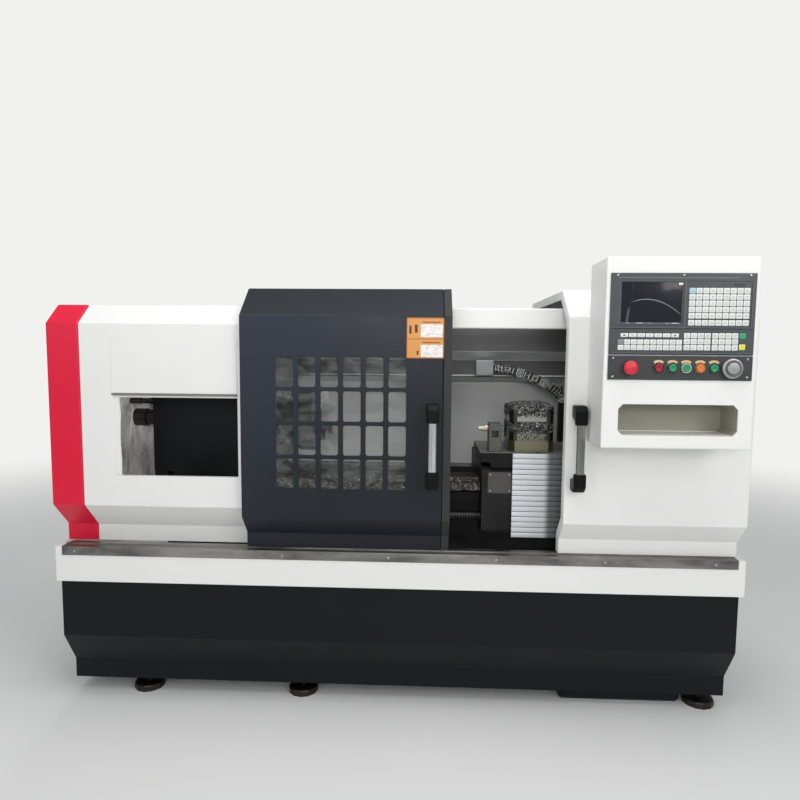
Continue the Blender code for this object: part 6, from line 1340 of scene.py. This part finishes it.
class LATHE_OT_turret_wrap(LathePiece, bpy.types.Operator):
    """Packing film round the turret head: an octagon that swells, crumples and closes on top"""

    bl_idname = "lathe.turret_wrap"
    bl_label = "Film on the turret"

    def build(self, sizes):
        low, high = box_of("turret_head")
        centre = (low + high) / 2
        half = (high[0] - low[0]) / 2
        u = np.linspace(0, 2 * np.pi, 220, endpoint=False)[None]
        v = np.linspace(0, 1, 90)[:, None]
        straight = half / np.maximum(np.abs(np.cos(u)), np.abs(np.sin(u)))
        corner = half * 1.32 / (np.abs(np.cos(u)) + np.abs(np.sin(u))) * 1.21
        octagon = np.minimum(straight, corner)

        def around(radius, z):
            return np.stack((centre[0] + radius * np.cos(u), centre[1] + radius * np.sin(u), z + 0 * u), -1)

        side = np.clip(v / 0.72, 0, 1)
        lid = np.clip((v - 0.72) / 0.28, 0, 1)
        heap = ridges(u * 14, v * 46, 6, 5) + 0.6 * ridges(u * 31, v * 90, 4, 9)
        strap = np.exp(-((side - 0.60) / 0.10) ** 4)
        radius = (octagon + 0.0065) * np.cos(lid * np.pi / 2) ** 0.7
        radius = radius + (0.0036 * heap * (1 - lid ** 4)) * (1 - strap)
        radius = radius - 0.004 * strap + 0.003 * np.sin(3 * u + 1) * lid * (1 - lid)
        rise = low[2] + 0.003 + (high[2] - low[2] - 0.020) * side
        z = rise + 0.020 * np.sin(lid * np.pi / 2) + 0.0040 * heap * lid * (1 - lid ** 6)
        piece("turret_wrap", [weave(around(radius, z), ring=True)], ["turret_film"], "turret",
              crease=80)
        spread = np.array((-0.006, -0.0006, 0, 0, -0.0006, -0.006))[:, None]
        bands = []
        for look, (levels, foot, gap) in enumerate((((0, 0, 0.0008, 0.0202, 0.021, 0.021), 0.0695, 0.0046),
                                                    ((0, 0, 0.001, 0.023, 0.024, 0.024), 0.0006, 0.0050))):
            levels = np.array(levels)[:, None] + low[2] + foot
            bands.append(weave(around(octagon + gap + spread, levels), ring=True, look=look))
        piece("turret_bands", bands, ["tool_disc", "skirt_band"], "turret")


class LATHE_OT_way_wrap(LathePiece, bpy.types.Operator):
    """Thin film over the bed's ways: flat on their tops, with a short crumpled hem in front"""

    bl_idname = "lathe.way_wrap"
    bl_label = "Film on the bed ways"

    def build(self, sizes):
        low, high = box_of("bed")
        top, skin, vee, width, hem = 0.797, 0.00012, low[1] + 0.022, 0.085, 0.028
        sections = ([(low[1] - skin, top - hem), (low[1] - skin, top + skin), (vee, top + skin),
                     (vee + 0.018, top + 0.014 + skin), (vee + 0.036, top + skin),
                     (low[1] + width, top + skin)],
                    [(high[1] - width, top + skin), (high[1], top + skin)])
        start, end = box_of("splash_wall")[1][0] + 0.03, box_of("saddle")[0][0] - 0.004
        along = np.linspace(start, end, 240)[:, None]
        parts = []
        for section in sections:
            section = np.array(section)
            length = np.concatenate(([0], np.cumsum(np.linalg.norm(np.diff(section, axis=0), axis=1))))
            s = np.sort(np.concatenate((np.linspace(0, length[-1], 30), length[1:-1])))
            y, z = (np.interp(s, length, section[:, k])[None] + 0 * along for k in range(2))
            z = z + 0.003 * ridges(along * 40, 0 * s[None], 3, 4) * (s < 1e-9) * (len(section) > 2)
            parts.append(weave(np.stack((along + 0 * y, y, z), -1)))
        piece("way_wrap", parts, ["way_film"], "machine", crease=80)


def chain_route():
    """Middle line of the cable chain as a cubic Bezier curve, its direction and its side, for t."""
    low, high = box_of("cable_chain")
    box_low, box_high = box_of("junction_box")
    start = np.array((box_high[0] + 0.0003, high[1] - 0.017, (box_low[2] + box_high[2]) / 2))
    end = np.array((high[0] - 0.020, low[1] + 0.017, low[2]))
    reach, drop = end[0] - start[0], start[2] - end[2]
    a, b, c, d = start, start + (reach * 0.3, 0, 0), end + (0, 0, drop * 0.5), end

    def at(t):
        t = np.asarray(t)[..., None]
        s = 1 - t
        place = a * s ** 3 + 3 * b * s * s * t + 3 * c * s * t * t + d * t ** 3
        way = (b - a) * s * s + (c - b) * 2 * s * t + (d - c) * t * t
        way /= np.linalg.norm(way, axis=-1, keepdims=True)
        side = np.array((0, 1, 0)) - way * way[..., 1:2]
        side /= np.linalg.norm(side, axis=-1, keepdims=True)
        return place, side, np.cross(way, side)

    return at


class LATHE_OT_cable_chain(LathePiece, bpy.types.Operator):
    """Cable chain: the links' plates and crossbars bent along its curve, white strips at the joints as
    painted glints, two cables and shreds of film
    """

    bl_idname = "lathe.cable_chain"
    bl_label = "Cable chain"

    def build(self, sizes):
        count = sizes.links
        at = chain_route()

        def bend(part, number):
            points, quads, uvs, look = part
            place, side, up = at(np.clip((number + points[:, 0]) / count, 0, 1))
            return place + side * points[:, 1:2] + up * points[:, 2:3], quads, uvs, look

        link = []
        for edge in (-1, 1):
            plate = block((0.02, edge * 0.0145 - 0.0022, -0.0125), (0.78, edge * 0.0145 + 0.0022, 0.0125),
                          0.0008, 0.004, 1, arc=2)
            tongue = block((0.5, edge * 0.0105 - 0.0014, -0.009), (1.12, edge * 0.0105 + 0.0014, 0.009),
                           0.0006, 0.003, 1, arc=1)
            # white strip at each joint, as a painted glint of the film on the links' edges
            glint_strip = block((0.80, edge * 0.0150 - 0.0019, -0.0118), (0.96, edge * 0.0150 + 0.0019, 0.0118),
                         0.0008, 0.001, 1, look=2, arc=1)
            pin, *faces = turned([(0, 0), (0, 0.14), (0.0032, 0.14), (0.0032, 0)], (0.0, 0.0, 0.0), 1,
                                 steps=12)
            link += [plate, tongue, glint_strip, (pin * (1, edge, 0.028) + (0.22, edge * 0.0155, 0), *faces)]
        for level in (-0.0165, 0.0165):
            link.append(block((0.12, -0.017, level - 0.003), (0.62, 0.017, level + 0.003), 0.0008, 0.0015, 2,
                              arc=2))
        parts = [bend(part, number) for number in range(count) for part in link]
        turn = np.linspace(0, 2 * np.pi, 10, endpoint=False)
        for cable, radius in ((-0.005, 0.0042), (0.0045, 0.0036)):
            section = np.stack((cable + radius * np.cos(turn), radius * np.sin(turn) - 0.003), 1)
            parts.append(carried(*at(np.linspace(0.0, 1.0, 70)), section, look=1))
        film = []
        turn = np.linspace(0, 2 * np.pi, 40, endpoint=False)[None]
        for start, end, swell in ((0.30, 0.37, 0.0), (0.56, 0.63, 0.0), (0.90, 0.985, 0.001)):
            t = np.linspace(start, end, 16)
            place, side, up = (v[:, None] for v in at(t))
            half = np.minimum(0.0182 / np.maximum(np.abs(np.cos(turn)), 1e-6),
                              0.0206 / np.maximum(np.abs(np.sin(turn)), 1e-6)) + swell
            half = half + 0.0008 * ridges(t[:, None] * 160, turn * 5, 4, 21)
            section = np.stack((half * np.cos(turn), half * np.sin(turn)), -1)
            film.append(weave(place + side * section[..., :1] + up * section[..., 1:], ring=True))
        for name, surfaces, looks, stands_for, slot in (
                ("chain_links", parts, ["chain_links", "gloss_black", "label_white"], ["cable_chain"],
                 "black_plastic"),
                ("chain_film", film, ["chain_film"], (), "clear_pane")):
            made = piece(name, surfaces, looks, None, stands_for)
            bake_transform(made)


class LATHE_OT_junction_lid(LathePiece, bpy.types.Operator):
    """Lid and screws of the junction box"""

    bl_idname = "lathe.junction_lid"
    bl_label = "Junction box lid"

    def build(self, sizes):
        low, high = box_of("junction_box")
        lid = block((low[0] + 0.002, low[1] - 0.003, low[2] + 0.002),
                    (high[0] - 0.002, low[1] + 0.001, high[2] - 0.002), 0.0014, 0.004)
        wide, tall = 0.075, 0.066
        heads = screw_heads([(low[0] + x * wide, low[1] - 0.003, low[2] + z * tall)
                             for x in (0.13, 0.87) for z in (0.14, 0.86)], 0.0028, 0.001, look=1)
        piece("junction_lid", [lid] + heads, ["motor_grey", "screw_steel"], "machine")


class LATHE_OT_coolant_nozzle(LathePiece, bpy.types.Operator):
    """Brass tip and dark bore of the coolant block"""

    bl_idname = "lathe.coolant_nozzle"
    bl_label = "Coolant nozzle"

    def build(self, sizes):
        low, high = box_of("coolant_block")
        block_left = high[0] - 0.044
        y, z = (low[1] + high[1]) / 2, high[2] - 0.020
        reach = block_left - low[0]
        tip = [(-reach + 0.0005, 0.003), (-reach, 0.0068), (-reach * 0.75, 0.0088),
               (-reach * 0.4, 0.0104), (-reach * 0.36, 0.0118), (-reach * 0.06, 0.0118), (-0.0002, 0.0104),
               (-0.0002, 0.003)]
        piece("nozzle_tip", [turned(tip, (block_left, y, z), steps=24)], ["brass"], "cross_slide")


class LATHE_OT_ball_screw(LathePiece, bpy.types.Operator):
    """Ball screw: a shaft whose radius dips in a round groove that climbs one pitch per turn"""

    bl_idname = "lathe.ball_screw"
    bl_label = "Ball screw"

    def build(self, sizes):
        low, high = box_of("z_ball_screw")
        pitch = sizes.screw_pitch
        radius, journal = (high[2] - low[2]) / 2, 0.011
        centre = (0, (low[1] + high[1]) / 2, (low[2] + high[2]) / 2)
        start, end = low[0] + 0.046, high[0] - 0.046

        def thread(along, angle):
            turn = (along / pitch - angle / (2 * np.pi)) % 1
            dip = np.sqrt(np.clip(1 - ((turn - 0.5) / 0.33) ** 2, 0, 1)) * 0.0021
            inside = (along > start + 0.004) & (along < end - 0.004)
            return 1 - np.where(inside, dip, 0) / radius

        along = np.arange(start, end, pitch / 9)
        shaft = np.stack((along, np.full_like(along, radius)), 1)
        profile = np.concatenate(([(low[0], 0), (low[0], journal - 0.001), (low[0] + 0.001, journal),
                                   (start, journal)], shaft, [(end, radius), (end, journal),
                                                              (high[0] - 0.001, journal),
                                                              (high[0], journal - 0.001), (high[0], 0)]))
        piece("ball_screw_thread", [turned(profile, centre, steps=24, wave=thread)], ["screw_oiled"],
              "z_screw", ["z_ball_screw"], crease=60)


# Light that falls on the machine from all round, and the backdrop that only the camera sees
AMBIENT, BACKDROP = (0.27, 0.28, 0.29, 1), (0.88, 0.88, 0.87, 1)
# Lamps: name, place, what they point at, width, height and power in watts
LAMPS = (("overhead", (0.2, -1.0, 3.4), (0.0, 0.1, 0.6), 3.6, 2.2, 60),
         ("front_right", (2.5, -3.3, 2.5), (0.1, 0.0, 0.9), 1.5, 1.5, 38),
         ("front_left", (-2.6, -3.6, 2.2), (-0.2, 0.0, 0.9), 1.8, 1.8, 14),
         ("front", (0.0, -4.4, 1.9), (0.3, 0.0, 1.0), 1.1, 0.8, 34),
         ("behind", (-0.8, 3.4, 3.0), (0.0, 0.0, 0.9), 2.6, 1.6, 40))


class LATHE_OT_stage(LathePiece, bpy.types.Operator):
    """Pale floor, soft studio lamps and the camera"""

    bl_idname = "lathe.stage"
    bl_label = "Stage"

    def build(self, sizes):
        self.floor()
        self.sky()
        self.lamps()
        self.camera()

    def floor(self):
        """Disc whose colour fades into the backdrop between near and far metres from the middle."""
        near, far = 2.0, 6.5
        radius = np.array((0.0, 1.0, 2.0, 3.0, 5.0, 8.0, 14.0, 30.0))[:, None]
        angle = np.linspace(0, 2 * np.pi, 48, endpoint=False)
        made = Finish("lathe_floor", (0.8, 0.8, 0.79), 0.7)
        made.tint(made.noise(1.5, 3), made.shade(0.97), made.shade(1.02))
        distance = made.add("ShaderNodeVectorMath", {0: made.object_place}, "Value", operation="LENGTH")
        share = made.times(made.span(distance, 0, 1, near, far, True), made.seen())
        glow = made.add("ShaderNodeEmission", {"Color": BACKDROP}, 0)
        both = made.add("ShaderNodeMixShader", {0: share, 1: made.shader.outputs[0], 2: glow}, 0)
        made.join(both, made.nodes["Material Output"].inputs["Surface"])
        disc = np.stack((radius * np.cos(angle), radius * np.sin(angle), 0 * radius * angle), -1)
        points, quads, _, _ = weave(disc, ring=True)
        mesh = bpy.data.meshes.new("floor")
        mesh.from_pydata(points.tolist(), [], quads.tolist())
        mesh.materials.append(made.material)
        floor = bpy.data.objects.new("floor", mesh)
        bpy.context.scene.collection.objects.link(floor)

    def sky(self):
        """Even light, with the backdrop in its place where the camera looks."""
        world = bpy.data.worlds.new("studio")
        world.use_nodes = True
        bpy.context.scene.world = world
        world.node_tree.nodes.clear()
        tree = Tree(world.node_tree)
        light = tree.add("ShaderNodeBackground", {"Color": tree.mix(tree.seen(), AMBIENT, BACKDROP)}, 0)
        tree.join(light, tree.nodes.new("ShaderNodeOutputWorld").inputs["Surface"])

    def lamps(self):
        for name, place, target, wide, tall, power in LAMPS:
            data = bpy.data.lights.new(name, "AREA")
            data.shape, data.size, data.size_y, data.energy = "RECTANGLE", wide, tall, power
            lamp = bpy.data.objects.new(name, data)
            lamp.location = place
            lamp.rotation_euler = (Vector(target) - Vector(place)).to_track_quat("-Z", "Y").to_euler()
            bpy.context.scene.collection.objects.link(lamp)

    def camera(self):
        """Camera of the photograph: yaw to the left, pitch down and a slight roll, in radians."""
        yaw, pitch, roll = 0.041, -0.0877, 0.0083
        forward = Vector((-math.sin(yaw) * math.cos(pitch), math.cos(yaw) * math.cos(pitch), math.sin(pitch)))
        level = Vector((math.cos(yaw), math.sin(yaw), 0))
        upright = level.cross(forward)
        right = level * math.cos(roll) + upright * math.sin(roll)
        up = upright * math.cos(roll) - level * math.sin(roll)
        data = bpy.data.cameras.new("camera")
        data.lens, data.sensor_width, data.shift_y = 27.5, 36.0, 0.0069
        data.clip_start, data.clip_end = 0.05, 100.0
        camera = bpy.data.objects.new("camera", data)
        camera.matrix_world = Matrix((right, up, -forward)).transposed().to_4x4()
        camera.location = (0.1056, -2.50195, 1.2739)
        bpy.context.scene.collection.objects.link(camera)
        bpy.context.scene.camera = camera
        bpy.context.scene.view_settings.view_transform = "Standard"


OPERATORS = (
    LATHE_OT_finishes, LATHE_OT_left_door, LATHE_OT_right_door, LATHE_OT_headstock_cover,
    LATHE_OT_hatch_film, LATHE_OT_end_trim, LATHE_OT_guard_frame, LATHE_OT_saddle_plate,
    LATHE_OT_handles, LATHE_OT_notice, LATHE_OT_track_screws, LATHE_OT_control_plate, LATHE_OT_display,
    LATHE_OT_buttons, LATHE_OT_curtain, LATHE_OT_turret_wrap, LATHE_OT_way_wrap, LATHE_OT_cable_chain,
    LATHE_OT_junction_lid, LATHE_OT_coolant_nozzle, LATHE_OT_ball_screw, LATHE_OT_stage,
)


class LATHE_PT_looks(bpy.types.Panel):
    """Lists the operators and the sizes and colours that they use"""

    bl_idname = "LATHE_PT_looks"
    bl_label = "Turning lathe"
    bl_space_type = "VIEW_3D"
    bl_region_type = "UI"
    bl_category = "Lathe"

    def draw(self, context):
        column = self.layout.column()
        for operator in OPERATORS:
            column.operator(operator.bl_idname)
        for group in (context.scene.lathe_sizes, context.scene.lathe_colours):
            for name in group.__annotations__:
                column.prop(group, name)


CLASSES = (LatheSizes, LatheColours) + OPERATORS + (LATHE_PT_looks,)


def register():
    for member in CLASSES:
        bpy.utils.register_class(member)
    bpy.types.Scene.lathe_sizes = PointerProperty(type=LatheSizes)
    bpy.types.Scene.lathe_colours = PointerProperty(type=LatheColours)


def unregister():
    del bpy.types.Scene.lathe_sizes
    del bpy.types.Scene.lathe_colours
    for member in reversed(CLASSES):
        bpy.utils.unregister_class(member)


def main():
    register()
    for operator in OPERATORS:
        group, name = operator.bl_idname.split(".")
        getattr(getattr(bpy.ops, group), name)()


if __name__ == "__main__":
    main()
